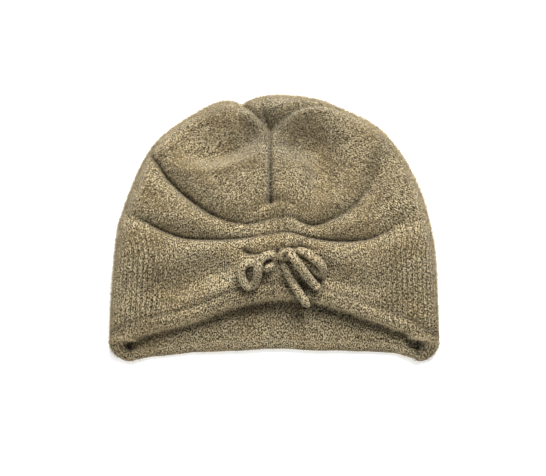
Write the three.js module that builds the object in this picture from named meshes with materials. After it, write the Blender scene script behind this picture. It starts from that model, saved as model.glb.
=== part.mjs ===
// A knitted beanie lying on its back: the front faces up (+Z), the crown points to +Y and the
// mouth opens towards -Y. Millimetres. The knit is one hollow solid with creases, crown seams
// and a rolled hem. A drawstring bow is laid on the front: a knot, two loops and two tails.
import * as THREE from "three";

// ---- driving sizes ----
const WALL = 4.5;               // thickness of the double knit
const FOLD_THICK = 12;          // cloth thickness across the folded side edge
const FOLD_BLEND = 24;          // plan width over which the inner face leaves that fold
const ROLL = { front: 5.2, back: 3.6, corner: 6 };    // radius of the rolled hem
const CORNER_RISE = { most: 5, turn: 9, reach: 36 };  // the front hem lifts off by the corners
// and slants down there to the back hem, with a tight inner fold
const CORNER_DROP = { reach: 22, outer: { low: 6.5, tight: 0 }, inner: { low: 10, tight: 0.65 } };
const CORNER_TILT = 0.7;        // the mouth faces up by this angle there, in radians
const CORNER_BLEND = [92, 122]; // x range over which the roll grows to its corner radius
const EDGE = { low: 11, high: 16 };                 // height of the side fold, hem and crown
const TURN_TOP = { low: 12, high: 13 };             // plan width of the upper edge rounding
const TURN_UNDER = 11;          // plan width of the rounding under the edge
const TURN_INSIDE = 9;          // plan width of the rounding along the inner fold
const SIDE_DROP = 0.2;          // share of the height lost towards the sides
const CROWN_Y = [-10, 70];      // y range over which hem sizes change to crown sizes
const HALF_WIDTH = 125;
const FABRIC = 0x9c8f70;

// ---- flat outline, x and y, from the left end of the mouth over the crown to the right ----
const OUTLINE = [
  [-125.6, -87], [-125.3, -76], [-124.6, -55], [-120.7, -13], [-118.5, 4], [-114, 17],
  [-107.9, 33], [-97.4, 55], [-89.8, 65.5], [-80.7, 73.6], [-69.7, 81.7], [-57.9, 88.7],
  [-46.2, 94.9], [-36.2, 97.2], [-29, 96], [-25.6, 93], [-22, 96], [-14.6, 99.2],
  [-3.4, 101.4], [8.3, 101.4], [19.9, 100.5], [35.4, 97.8], [58, 88], [70.8, 81.8],
  [83, 73.2], [90.9, 65], [98.6, 54], [109.5, 32.6], [115.4, 17.4], [122, -13],
  [124.8, -55], [125.4, -74], [125.6, -87.5],
];
const CORNER = { left: 10, right: 22 };   // outline rows where the crown edge starts and ends

// ---- knitted courses: share of the side edge, and y at seven even steps across the front ----
const COURSES = [
  { name: "crown_edge", side: 0, rows: 0 },
  { name: "apex", side: 0.13, rows: 7, y: [70, 72, 73, 73.5, 74.5, 75.5, 75] },
  { name: "mid_crown", side: 0.17, rows: 4, y: [50, 44, 40, 39, 39, 42, 51] },
  { name: "upper_crease", side: 0.21, rows: 6, y: [27, 9.5, 3, 5, 5, 6, 21] },
  { name: "band", side: 0.34, rows: 4, y: [15, 2, -3.4, -1, -2, -2, 11] },
  { name: "lower_crease", side: 0.47, rows: 4, y: [0, -9.5, -8.6, -5.7, -7.2, -11, -3.4] },
  { name: "gather_foot", side: 0.58, rows: 5, y: [-17, -20, -20.5, -20, -18.6, -20, -15.6] },
  { name: "lower_front", side: 0.74, rows: 3, y: [-42, -39, -34, -32.5, -32.5, -36, -40] },
  { name: "hem_groove", side: 0.9, rows: 3, y: [-68, -61.5, -48, -44.5, -45, -56.5, -69] },
  { name: "hem_edge", side: 1, rows: 3, y: [-75.4, -67.6, -55.8, -49.9, -51.8, -61.6, -73] },
];
// y of the back edge at nine even steps
const BACK_HEM = [-93.5, -93.8, -90.8, -89.6, -87.8, -89, -89.7, -91.4, -93.5];
const COLUMNS = 56;
const BACK_COLUMNS = 34;
const LIP_STEPS = 7;
const RIM = [0.06, 0.28, 0.62, 1];           // rings of an edge rounding, share of its width
const INNER_V = [0.5, 1, 1.5, 2, 2.5, 3, 3.5, 4, 4.5, 5, 5.5, 6, 7, 9];

// ---- height of the front along the middle: y, z ----
const PROFILE = [
  [-110, 18.5], [-78, 18.5], [-62, 19.8], [-50, 22.8], [-36, 28.2], [-20, 33], [-2, 35.5],
  [12, 38.5], [28, 41], [48, 42.5], [68, 42.5], [86, 41], [102, 38],
];

const UPPER_BANK = 0.75;        // a crease's upper bank is broad, and its lower one is steep
const LOWER_BANK = 0.9;
// ---- creases, seams and swells. A path row is x, y, depth, and a negative depth swells.
// above and below are the widths on each side; sharp 1 is a pressed crease, 0 a soft dip ----
const FOLDS = [
  { name: "upper_crease", above: 18, below: 12, sharp: 1, path: [
    [-92.9, 52.8, 7], [-86.8, 45.2, 13], [-80.8, 36.1, 15.5], [-71.6, 27, 16],
    [-56.4, 14.8, 15], [-39.7, 5.7, 11], [-18.4, 1.9, 7.5], [0.6, 5.7, 5.5], [12, 6.5, 5.5],
    [29.4, 1.1, 9.5], [48.5, 8, 11], [59.1, 14.8, 10], [68, 24.5, 7.5], [75, 36, 4.5],
    [80, 48, 0]] },
  { name: "right_side_hollow", above: 18, below: 13, sharp: 0, path: [
    [62, 20, 0], [73, 30, 4], [83, 42, 8], [90, 54, 8], [94, 66, 5]] },
  { name: "lower_crease", above: 14, below: 10, sharp: 1, path: [
    [-109, 9, 0], [-102, 6, 5], [-94, 2, 10], [-84.5, -2.7, 12], [-70.1, -8, 13],
    [-48.8, -9.5, 12], [-22.2, -8.7, 8], [-7.8, -6.8, 6], [10.4, -4.6, 6], [28.7, -8.7, 9],
    [50, -11, 11.5], [70, -9.5, 10.5], [83, -5, 6], [93, 1, 2], [99, 6, 0]] },
  { name: "right_band_hollow", above: 16, below: 12, sharp: 0, path: [
    [80, -5, 0], [92, -1, 5], [102, 3, 6], [114, 7, 4]] },
  { name: "left_band_hollow", above: 12, below: 10, sharp: 0, path: [
    [-118, 12, 4], [-108, 7, 4], [-98, 2, 0]] },
  { name: "gather_top", above: 8, below: 6, sharp: 1, path: [
    [-20, 8, 0], [-9.3, 14.8, 3.5], [-3.2, 18.2, 6], [5.9, 18.6, 3.5], [15, 15.6, 2.5],
    [27, 7, 0]] },
  { name: "gather_foot", above: 8, below: 9, sharp: 1, path: [
    [-26, -17, 0], [-20.5, -19.6, 10], [-14, -21, 5], [2.9, -20.1, 5.5], [13.5, -17.1, 5.5],
    [20.3, -16, 7], [30, -18, 3], [44, -20.1, 0]] },
  { name: "gather_stitch", above: 3, below: 3, sharp: 0.5, path: [
    [5.1, 15, 0], [5.1, 6, 1.5], [5.1, -18, 1.5], [5.1, -22, 0]] },
  { name: "front_seam", above: 4, below: 5.5, sharp: 1, path: [
    [-2.9, 71.8, 3], [-2.9, 60.4, 5], [-2.9, 42.2, 7], [-2.9, 27, 9], [-2.9, 17.5, 10]] },
  { name: "left_seam", above: 15, below: 3.5, sharp: 1, path: [
    [-24.5, 93.1, 8], [-16.9, 86.6, 8], [-9.9, 79.8, 7.5], [-3.2, 73.3, 5]] },
  { name: "back_seam", above: 5, below: 6, sharp: 0.8, path: [
    [-3.2, 73.3, 4], [-5.5, 78.7, 4.5], [-7.8, 86.3, 3.5], [-9.3, 94, 1.5], [-9.5, 98, 0]] },
  { name: "right_seam", above: 14, below: 3.5, sharp: 1, path: [
    [-3.2, 73.3, 5], [1.5, 77, 7], [6.7, 80.8, 8], [15, 86.6, 8], [24.9, 90, 8],
    [36.3, 91.2, 7], [48.5, 89.7, 4.5], [61, 86, 0]] },
  { name: "left_rim", above: 5, below: 8, sharp: 0, path: [
    [-27.5, 88.5, -2], [-20.7, 82.5, -3], [-13.1, 75.6, -3], [-7.8, 69.5, -1.5]] },
  { name: "right_rim", above: 5, below: 8, sharp: 0, path: [
    [6.7, 74.9, -2], [15, 81.7, -3.5], [24.9, 86, -3.5], [36.3, 87.4, -3.5],
    [48.5, 86, -2.5], [60, 82, 0]] },
  { name: "apex_dimple", above: 18, below: 18, sharp: 0, path: [[-5, 74, 3], [0, 74, 3]] },
  { name: "left_dish", above: 30, below: 14, sharp: 0.1, path: [
    [-84, 58, 0], [-67.8, 53.5, 6], [-52.6, 53, 14], [-35.2, 56, 16.5], [-22.2, 61, 12],
    [-9.3, 69, 2]] },
  { name: "left_ridge", above: 7, below: 9, sharp: 0, path: [
    [-76, 43, 0], [-62, 45.5, -2], [-42, 45, -2.5], [-24, 51.5, -2.5], [-9, 62, 0]] },
  { name: "right_dish", above: 27, below: 19, sharp: 0.1, path: [
    [5.9, 68.8, 3], [15, 61, 14], [27, 58, 17], [35, 48, 12], [37, 31, 7],
    [37.8, 16.3, 0]] },
  { name: "left_brim_fold", above: 22, below: 16, sharp: 0, path: [
    [-108, -56, 0], [-92, -50, 3.5], [-66, -42, 6.5], [-42, -34, 6.5], [-24, -28, 0]] },
  { name: "right_brim_fold", above: 18, below: 12, sharp: 0, path: [
    [24, -29, 0], [38, -36, 5.5], [52, -41, 5.5], [72, -45, 3], [103, -43.7, 0]] },
  { name: "left_brim_swell", above: 12, below: 12, sharp: 0, path: [
    [-70, -58, 0], [-58, -54, -1], [-40, -46, -2.5], [-30, -46, 0]] },
  { name: "hem_groove", above: 14, below: 6, sharp: 0.8, path: [
    [-124, -80, 0], [-119, -76.5, 2.5], [-112, -73, 3.4], [-104, -70.4, 3.6],
    [-90, -67, 3.6], [-60, -59.5, 3.6], [-29, -48, 3.4], [-10, -43.2, 3], [5, -42.6, 2.6],
    [22, -43.6, 2.8], [33, -45.4, 3.2], [64, -55, 3.6], [90, -64.5, 3.6],
    [104, -70, 3.6], [114, -75, 3], [123, -81, 0]] },
];

// ---- drawstring: centre-line rows are x, y and lift above the knit ----
const CORD_R = 3.3;
const CORD_SIDES = 8;
const KNOT = { at: [8.3, -22, 4.6], size: [11, 9.5, 8.5] };
const CORDS = [
  { name: "left_loop", steps: 36, path: [
    [1.2, -22.4, 6.3], [-2, -22.4, 8], [-6.8, -23.7, 9.8], [-10.8, -27.6, 11.2],
    [-12.4, -34.4, 10.2], [-13, -40, 6.4], [-16, -44.6, 4.2], [-20.2, -45.2, 4],
    [-23.8, -41, 4], [-24.9, -35.4, 4], [-23, -30.6, 3.8], [-18.4, -28.2, 3.4],
    [-12.9, -29.2, 3.3], [-7.8, -31.9, 3.4], [-3.2, -31.1, 3.7], [0.1, -28.9, 4.1]] },
  { name: "right_loop", steps: 30, path: [
    [16.4, -20, 5.6], [19.4, -20, 7], [23.4, -21.4, 8.6], [28.5, -24.8, 9.6],
    [33.3, -28.3, 9.2], [36.4, -32.2, 7], [36.2, -35.4, 4.2], [33.2, -35.4, 3.5],
    [29.6, -32.2, 3.5], [25.6, -29.2, 3.5], [21.2, -27, 3.5], [17.6, -25.2, 3.5]] },
  { name: "over_tail", steps: 18, path: [
    [9.2, -18.2, 12.6], [12.9, -23.8, 13.2], [17, -28.8, 12.2], [21, -33.6, 9.8],
    [25.2, -38.6, 6.6], [29.2, -43, 4.6], [34, -47.6, 3.8]] },
  { name: "under_tail", steps: 18, path: [
    [6.9, -28.2, 4], [9.8, -33.6, 4], [12.4, -39.4, 3.9], [16, -46, 3.9], [20, -52.4, 3.8],
    [26.4, -60.9, 2.2]] },
];

// ---- small functions ----
const lerp = (a, b, t) => a + (b - a) * t;
const clamp = (v, low, high) => Math.min(high, Math.max(low, v));
const smooth = (t) => clamp(t, 0, 1) ** 2 * (3 - 2 * clamp(t, 0, 1));
const bulge = (t) => Math.sqrt(1 - (1 - clamp(t, 0, 1)) ** 2);

function catmull(a, b, c, d, t) {
  return 0.5 * (2 * b + (c - a) * t + (2 * a - 5 * b + 4 * c - d) * t * t
    + (3 * b - a - 3 * c + d) * t * t * t);
}

// eased value of an evenly spaced list at a position counted in steps
function along(list, at) {
  const k = clamp(Math.floor(at), 0, list.length - 2);
  const pick = (i) => list[clamp(i, 0, list.length - 1)];
  return catmull(pick(k - 1), pick(k), pick(k + 1), pick(k + 2), at - k);
}

function profileHeight(y) {
  const next = clamp(PROFILE.findIndex((row) => row[0] >= y), 1, PROFILE.length - 1);
  const [low, high] = [PROFILE[next - 1], PROFILE[next]];
  return along(PROFILE.map((row) => row[1]), next - 1 + (y - low[0]) / (high[0] - low[0]));
}

function spline(rows) {
  return new THREE.CatmullRomCurve3(
    rows.map(([x, y, z = 0]) => new THREE.Vector3(x, y, z)), false, "centripetal");
}

// nearest place on a polyline: distance, third value there, and side (+1 is left of it)
function nearest(line, x, y) {
  let best = { gap: Infinity };
  for (let i = 1; i < line.length; i += 1) {
    const [ax, ay, av] = line[i - 1];
    const [bx, by, bv] = line[i];
    const dx = bx - ax;
    const dy = by - ay;
    const t = clamp(((x - ax) * dx + (y - ay) * dy) / (dx * dx + dy * dy), 0, 1);
    const gap = Math.hypot(x - ax - dx * t, y - ay - dy * t);
    if (gap < best.gap) {
      const side = dx * (y - ay) - dy * (x - ax) >= 0 ? 1 : -1;
      best = { gap, value: lerp(av, bv, t), side };
    }
  }
  return best;
}

// ---- outline and heights ----
const EDGE_STEPS = 640;
const edgeCurve = spline(OUTLINE);
edgeCurve.arcLengthDivisions = EDGE_STEPS;
const edgeLine = edgeCurve.getSpacedPoints(EDGE_STEPS / 2).map((p) => p.toArray());
const lengths = edgeCurve.getLengths();
const shareOf = (row) =>
  lengths[Math.round(row / (OUTLINE.length - 1) * EDGE_STEPS)] / lengths[EDGE_STEPS];
const LEFT = shareOf(CORNER.left);
const RIGHT = shareOf(CORNER.right);
const foldLines = FOLDS.map((fold) => ({
  ...fold,
  line: spline(fold.path).getPoints(fold.path.length * 4).map((p) => p.toArray()),
}));

// how far the folds sink the surface; soft 1 rounds every crease, for the inner face
function sink(x, y, soft) {
  let total = 0;
  for (const fold of foldLines) {
    const { gap, value, side } = nearest(fold.line, x, y);
    const q = gap / (side > 0 ? fold.above : fold.below);
    if (q < 1) {
      const round = Math.cos(q * Math.PI / 2) ** 2;
      const pressed = (1 - bulge(q)) ** (side > 0 ? UPPER_BANK : LOWER_BANK);
      total += value * lerp(round, pressed, fold.sharp * (1 - soft));
    }
  }
  return total;
}

const crownShare = (y) => smooth((y - CROWN_Y[0]) / (CROWN_Y[1] - CROWN_Y[0]));
const edgeHeight = (y) => lerp(EDGE.low, EDGE.high, crownShare(y));

// height of the outer face over a plan point
function frontHeight(x, y, soft = 0) {
  const turn = lerp(TURN_TOP.low, TURN_TOP.high, crownShare(y));
  const drop = SIDE_DROP * (Math.abs(x) / HALF_WIDTH) ** 2.5;
  const full = profileHeight(y) * (1 - drop) - sink(x, y, soft);
  const edge = edgeHeight(y);
  return edge + (full - edge) * bulge(nearest(edgeLine, x, y).gap / turn);
}

// height of the inner face of the front
function ceilingHeight(x, y) {
  const edge = edgeHeight(y) - 0.5;
  const gap = nearest(edgeLine, x, y).gap - FOLD_THICK;
  return edge + (frontHeight(x, y, 1) - WALL - edge) * bulge(gap / TURN_INSIDE);
}

// ---- plan: u runs across from 0 to 1, v counts courses from the crown edge to the hem ----
const LAST = COURSES.length - 1;
const sideShare = (v) => clamp(along(COURSES.map((course) => course.side), v), 0, 1);

function sidePoint(share, right) {
  const p = edgeCurve.getPointAt(right ? lerp(RIGHT, 1, share) : LEFT * (1 - share));
  return [p.x, p.y];
}

function crownEdge(u) {
  const p = edgeCurve.getPointAt(lerp(LEFT, RIGHT, u));
  return [p.x, p.y];
}

function course(values, side) {
  const [left, right] = [sidePoint(side, false), sidePoint(side, true)];
  const ys = [left[1], ...values, right[1]];
  return (u) => [lerp(left[0], right[0], u), along(ys, u * (ys.length - 1))];
}

const courses = COURSES.map(({ y, side }) => (y ? course(y, side) : crownEdge));
const backHem = (x) =>
  along(BACK_HEM, (x + HALF_WIDTH) / (2 * HALF_WIDTH) * (BACK_HEM.length - 1));

function crossing(u, v, axis) {
  return along(courses.map((line) => line(u)[axis]), v);
}

function frontPlan(u, v, lifted = 1) {
  const share = sideShare(v);
  const [left, right] = [sidePoint(share, false), sidePoint(share, true)];
  const [x, y] = [0, 1].map((axis) => crossing(u, v, axis)
    + (1 - u) ** 6 * (left[axis] - crossing(0, v, axis))
    + u ** 6 * (right[axis] - crossing(1, v, axis)));
  const gap = Math.min(u, 1 - u) * (right[0] - left[0]);
  const { most, turn, reach } = CORNER_RISE;
  const rise = lifted * most * bulge(gap / turn) * Math.max(0, 1 - gap / reach);
  return [x, y + rise * smooth(v - LAST + 1)];
}

// moves u inwards so that the inner face clears the thick side fold
function innerU(u, v) {
  const share = sideShare(v);
  const width = sidePoint(share, true)[0] - sidePoint(share, false)[0];
  const gap = Math.min(u, 1 - u) * width;
  const inset = (gap + FOLD_THICK * (1 - smooth(gap / FOLD_BLEND))) / width;
  return u < 0.5 ? inset : 1 - inset;
}

// ---- mesh store ----
const points = [];
const faces = [];
const put = (x, y, z) => points.push([x, y, z]) - 1;

function strip(upper, lower, flip) {
  for (let i = 1; i < upper.length; i += 1) {
    const [a, b, c, d] = [upper[i - 1], lower[i - 1], lower[i], upper[i]];
    faces.push(...(flip ? [[a, c, b], [a, d, c]] : [[a, b, c], [a, c, d]]));
  }
}

function flatFill(loop, faceUp) {
  const flat = loop.map((i) => new THREE.Vector2(points[i][0], points[i][1]));
  for (const [a, b, c] of THREE.ShapeUtils.triangulateShape(flat, [])) {
    const isUp = THREE.ShapeUtils.area([flat[a], flat[b], flat[c]]) > 0;
    faces.push(isUp === faceUp ? [loop[a], loop[b], loop[c]] : [loop[a], loop[c], loop[b]]);
  }
}

// points set in from an edge line by a plan distance, at heights given by the old height;
// the ends of the ring drop towards the back hem
function insetRing(edge, turn, share, drop, height) {
  const reach = 3;
  return edge.map((id, i) => {
    const before = points[edge[Math.max(0, i - reach)]];
    const after = points[edge[Math.min(edge.length - 1, i + reach)]];
    const run = Math.hypot(after[0] - before[0], after[1] - before[1]);
    const [x, y, z] = points[id];
    const foot = points[edge[i < edge.length / 2 ? 0 : edge.length - 1]][1];
    const near = smooth(1 - (y - foot) / CORNER_DROP.reach);
    const distance = turn * share * (1 - drop.tight * near);
    return put(x + (after[1] - before[1]) / run * distance,
      y - (after[0] - before[0]) / run * distance - drop.low * near * bulge(share), height(z));
  });
}

// one face of the knit: a front grid, its turned edge and a flat back, with the hem loop
function face({ grid, turn, drop, floor, back, flip }) {
  for (let j = 1; j < grid.length; j += 1) {
    strip(grid[j - 1], grid[j], flip);
  }
  const left = grid.map((row) => row[0]).reverse();
  const right = grid.map((row) => row[row.length - 1]);
  const edge = [...left, ...grid[0].slice(1, -1), ...right];
  const rings = [edge];
  for (const share of RIM) {
    rings.push(insetRing(edge, turn, share, drop, (z) => z - (z - floor) * bulge(share)));
    strip(rings[rings.length - 2], rings[rings.length - 1], !flip);
  }
  const last = rings[rings.length - 1];
  const [from, to] = [points[last[last.length - 1]], points[last[0]]];
  const middle = Array.from({ length: BACK_COLUMNS - 1 }, (_, i) => {
    const x = lerp(from[0], to[0], (i + 1) / BACK_COLUMNS);
    return put(x, backHem(x) + back(x), floor);
  });
  flatFill([...last, ...middle], flip);
  const ends = rings.map((ring) => ring[ring.length - 1]).slice(1);
  const starts = rings.map((ring) => ring[0]).slice(1).reverse();
  return [...grid[grid.length - 1], ...ends, ...middle, ...starts];
}

// ---- outer and inner faces ----
const outerV = COURSES.flatMap(({ rows }, i) =>
  Array.from({ length: rows }, (_, j) => i - 1 + (j + 1) / rows));
const crowded = Array.from({ length: COLUMNS + 1 }, (_, i) =>
  i / COLUMNS - 0.72 * Math.sin(2 * Math.PI * i / COLUMNS) / (2 * Math.PI));

const outerGrid = [0, ...outerV].map((v) => (v < 1 ? v ** 1.8 : v)).map((v) =>
  crowded.map((u) => {
    const [x, y] = frontPlan(u, v);
    const onEdge = u === 0 || u === 1 || v === 0;
    return put(x, y, onEdge ? edgeHeight(y) : frontHeight(x, y));
  }));
const outerLoop = face({
  grid: outerGrid, turn: TURN_UNDER, drop: CORNER_DROP.outer, floor: 0, back: () => 0,
  flip: false,
});

const cornerShare = (x) =>
  smooth((Math.abs(x) - CORNER_BLEND[0]) / (CORNER_BLEND[1] - CORNER_BLEND[0]));
const rollRadius = (x, base) => lerp(base, ROLL.corner, cornerShare(x));
// how far behind the outer edge the inner face meets the roll
const hemShift = (x, base) =>
  Math.sqrt(base ** 2 - (WALL - base) ** 2) * (1 - cornerShare(x));

const innerGrid = INNER_V.map((v) => crowded.map((u, i) => {
  const inset = innerU(clamp(u, 0, 1), v);
  const [x, y] = frontPlan(inset, v, 0);
  const onEdge = i === 0 || i === COLUMNS || v === INNER_V[0];
  const shift = v === LAST ? hemShift(x, ROLL.front) : 0;
  return put(x, y + shift, onEdge ? edgeHeight(y) - 0.5 : ceilingHeight(x, y));
}));
const innerLoop = face({
  grid: innerGrid, turn: TURN_INSIDE, drop: CORNER_DROP.inner, floor: WALL,
  back: (x) => hemShift(x, ROLL.back), flip: true,
});

// ---- rolled hem: an arc of more than half a turn from the outer loop to the inner one ----
const lip = outerLoop.map((id, i) => {
  const outer = new THREE.Vector3(...points[id]);
  const inner = new THREE.Vector3(...points[innerLoop[i]]);
  const wall = Math.hypot(outer.x - inner.x, outer.z - inner.z);
  const base = i <= COLUMNS ? ROLL.front : ROLL.back;
  const radius = Math.max(rollRadius(outer.x, base), wall / 2);
  const out = new THREE.Vector3(outer.x - inner.x, 0, outer.z - inner.z).divideScalar(wall);
  const tilt = CORNER_TILT * cornerShare(outer.x) * smooth(outer.z / EDGE.low);
  const forward = new THREE.Vector3(0, -Math.cos(tilt), Math.sin(tilt));
  forward.addScaledVector(out, -forward.dot(out)).normalize();
  const end = 2 * Math.PI - Math.acos(1 - wall / radius);
  const arc = (turn) => outer.clone().addScaledVector(out, radius * (Math.cos(turn) - 1))
    .addScaledVector(forward, radius * Math.sin(turn));
  const slip = inner.clone().sub(arc(end));
  const ids = [id];
  for (let j = 1; j < LIP_STEPS; j += 1) {
    const t = j / LIP_STEPS;
    ids.push(put(...arc(end * t).addScaledVector(slip, t).toArray()));
  }
  return [...ids, innerLoop[i]];
});
for (let j = 1; j <= LIP_STEPS; j += 1) {
  const rows = [j - 1, j].map((k) => [...lip, lip[0]].map((ids) => ids[k]));
  strip(rows[0], rows[1], false);
}

// ---- pieces ----
const group = new THREE.Group();
group.name = "beanie";

function addMesh(name, geometry) {
  const material = new THREE.MeshStandardMaterial({
    color: FABRIC, roughness: 0.95, metalness: 0 });
  const mesh = new THREE.Mesh(geometry, material);
  mesh.name = name;
  group.add(mesh);
  return mesh;
}

const knit = new THREE.BufferGeometry();
knit.setAttribute("position", new THREE.Float32BufferAttribute(points.flat(), 3));
knit.setIndex(faces.flat());
addMesh("knit_cap", knit);

// a point above the highest knit that a cord's width covers
function onKnit([x, y, lift]) {
  const around = [0, 1, 2, 3, 4, 5, 6, 7].map((i) => i * Math.PI / 4);
  const heights = around.flatMap((turn) => [0, CORD_R / 2, CORD_R].map((r) =>
    frontHeight(x + r * Math.cos(turn), y + r * Math.sin(turn))
    - CORD_R + Math.sqrt(CORD_R ** 2 - r ** 2)));
  return [x, y, Math.max(...heights) + lift];
}

const knot = new THREE.SphereGeometry(0.5, 14, 10);
knot.rotateX(Math.PI / 2);
knot.scale(...KNOT.size);
knot.translate(...onKnit(KNOT.at));
addMesh("bow_knot", knot);

for (const cord of CORDS) {
  const section = new THREE.Shape();
  for (let i = 0; i < CORD_SIDES; i += 1) {
    const turn = 2 * Math.PI * i / CORD_SIDES;
    const corner = [CORD_R * Math.cos(turn), CORD_R * Math.sin(turn)];
    section[i ? "lineTo" : "moveTo"](...corner);
  }
  addMesh(cord.name, new THREE.ExtrudeGeometry(section, {
    steps: cord.steps, bevelEnabled: false, curveSegments: 1,
    extrudePath: spline(cord.path.map(onKnit)),
  }));
}

// the origin is under the middle of the cap
const box = new THREE.Box3().setFromBufferAttribute(knit.getAttribute("position"));
group.position.set(-(box.min.x + box.max.x) / 2, -(box.min.y + box.max.y) / 2, -box.min.z);

export default group;
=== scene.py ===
"""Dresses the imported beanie: the knitted cap, its drawstring bow, its fuzz and a pale studio."""
from math import cos, pi, radians, sin

import bpy
import numpy as np
from bpy.props import (FloatProperty, FloatVectorProperty, IntProperty, PointerProperty)
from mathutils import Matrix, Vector, geometry, noise


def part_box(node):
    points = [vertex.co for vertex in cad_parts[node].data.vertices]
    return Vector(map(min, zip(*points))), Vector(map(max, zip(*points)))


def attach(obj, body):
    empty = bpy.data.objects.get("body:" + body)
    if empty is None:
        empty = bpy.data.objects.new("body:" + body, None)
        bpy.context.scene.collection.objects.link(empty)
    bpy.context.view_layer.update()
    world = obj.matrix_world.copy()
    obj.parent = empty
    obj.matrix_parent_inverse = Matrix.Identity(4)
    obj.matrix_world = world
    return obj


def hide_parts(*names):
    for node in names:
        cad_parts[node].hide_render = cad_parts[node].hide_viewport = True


bl_info = {
    "name": "Knitted beanie",
    "version": (1, 0, 0),
    "blender": (4, 5, 0),
    "location": "View3D > Sidebar > Beanie",
    "description": "Builds the knitted cap, the drawstring bow, the fuzz and the studio",
    "category": "Object",
}

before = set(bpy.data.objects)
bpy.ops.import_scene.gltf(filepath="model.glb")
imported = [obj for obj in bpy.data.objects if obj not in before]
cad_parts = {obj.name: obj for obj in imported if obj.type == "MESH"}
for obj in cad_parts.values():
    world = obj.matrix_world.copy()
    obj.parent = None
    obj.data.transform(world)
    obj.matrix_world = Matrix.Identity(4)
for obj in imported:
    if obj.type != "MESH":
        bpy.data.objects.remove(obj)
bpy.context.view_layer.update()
CAP_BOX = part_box("knit_cap")
MM = 0.001

# ---- sizes shared with the part's source, in millimetres ----
WALL = 4.5
FOLD_THICK = 12
FOLD_BLEND = 24
ROLL = {"front": 5.2, "back": 3.6, "corner": 6}
CORNER_RISE = (5, 9, 36)        # height, turn and reach
CORNER_DROP = {"reach": 22, "outer": (6.5, 0), "inner": (10, 0.65)}   # drop and tightness
CORNER_TILT = 0.7
CORNER_BLEND = (92, 122)
EDGE = (11, 16)
TURN_TOP = (12, 13)
TURN_UNDER = 11
TURN_INSIDE = 9
SIDE_DROP = (0.2, 2.5)          # share of the height lost at the sides, and its power
SIDE_PULL = 6                   # power that keeps the pull of a row's ends near the sides
CROWN_Y = (-10, 70)
HALF_WIDTH = 125
UPPER_BANK = 0.75
LOWER_BANK = 0.9

OUTLINE = [
    (-125.6, -87), (-125.3, -76), (-124.6, -55), (-120.7, -13), (-118.5, 4), (-114, 17),
    (-107.9, 33), (-97.4, 55), (-89.8, 65.5), (-80.7, 73.6), (-69.7, 81.7), (-57.9, 88.7),
    (-46.2, 94.9), (-36.2, 97.2), (-29, 96), (-25.6, 93), (-22, 96), (-14.6, 99.2),
    (-3.4, 101.4), (8.3, 101.4), (19.9, 100.5), (35.4, 97.8), (58, 88), (70.8, 81.8),
    (83, 73.2), (90.9, 65), (98.6, 54), (109.5, 32.6), (115.4, 17.4), (122, -13),
    (124.8, -55), (125.4, -74), (125.6, -87.5),
]
OUTLINE_STEPS = 40              # along each of its stretches
CORNER_ROWS = (10, 22)          # rows of the outline where the crown ends on each side

# share of the side edge, and y at seven even steps across
COURSES = [
    (0, None),
    (0.13, (70, 72, 73, 73.5, 74.5, 75.5, 75)),
    (0.17, (50, 44, 40, 39, 39, 42, 51)),
    (0.21, (27, 9.5, 3, 5, 5, 6, 21)),
    (0.34, (15, 2, -3.4, -1, -2, -2, 11)),
    (0.47, (0, -9.5, -8.6, -5.7, -7.2, -11, -3.4)),
    (0.58, (-17, -20, -20.5, -20, -18.6, -20, -15.6)),
    (0.74, (-42, -39, -34, -32.5, -32.5, -36, -40)),
    (0.9, (-68, -61.5, -48, -44.5, -45, -56.5, -69)),
    (1, (-75.4, -67.6, -55.8, -49.9, -51.8, -61.6, -73)),
]
BACK_HEM = (-93.5, -93.8, -90.8, -89.6, -87.8, -89, -89.7, -91.4, -93.5)
PROFILE = [
    (-110, 18.5), (-78, 18.5), (-62, 19.8), (-50, 22.8), (-36, 28.2), (-20, 33), (-2, 35.5),
    (12, 38.5), (28, 41), (48, 42.5), (68, 42.5), (86, 41), (102, 38),
]

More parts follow.
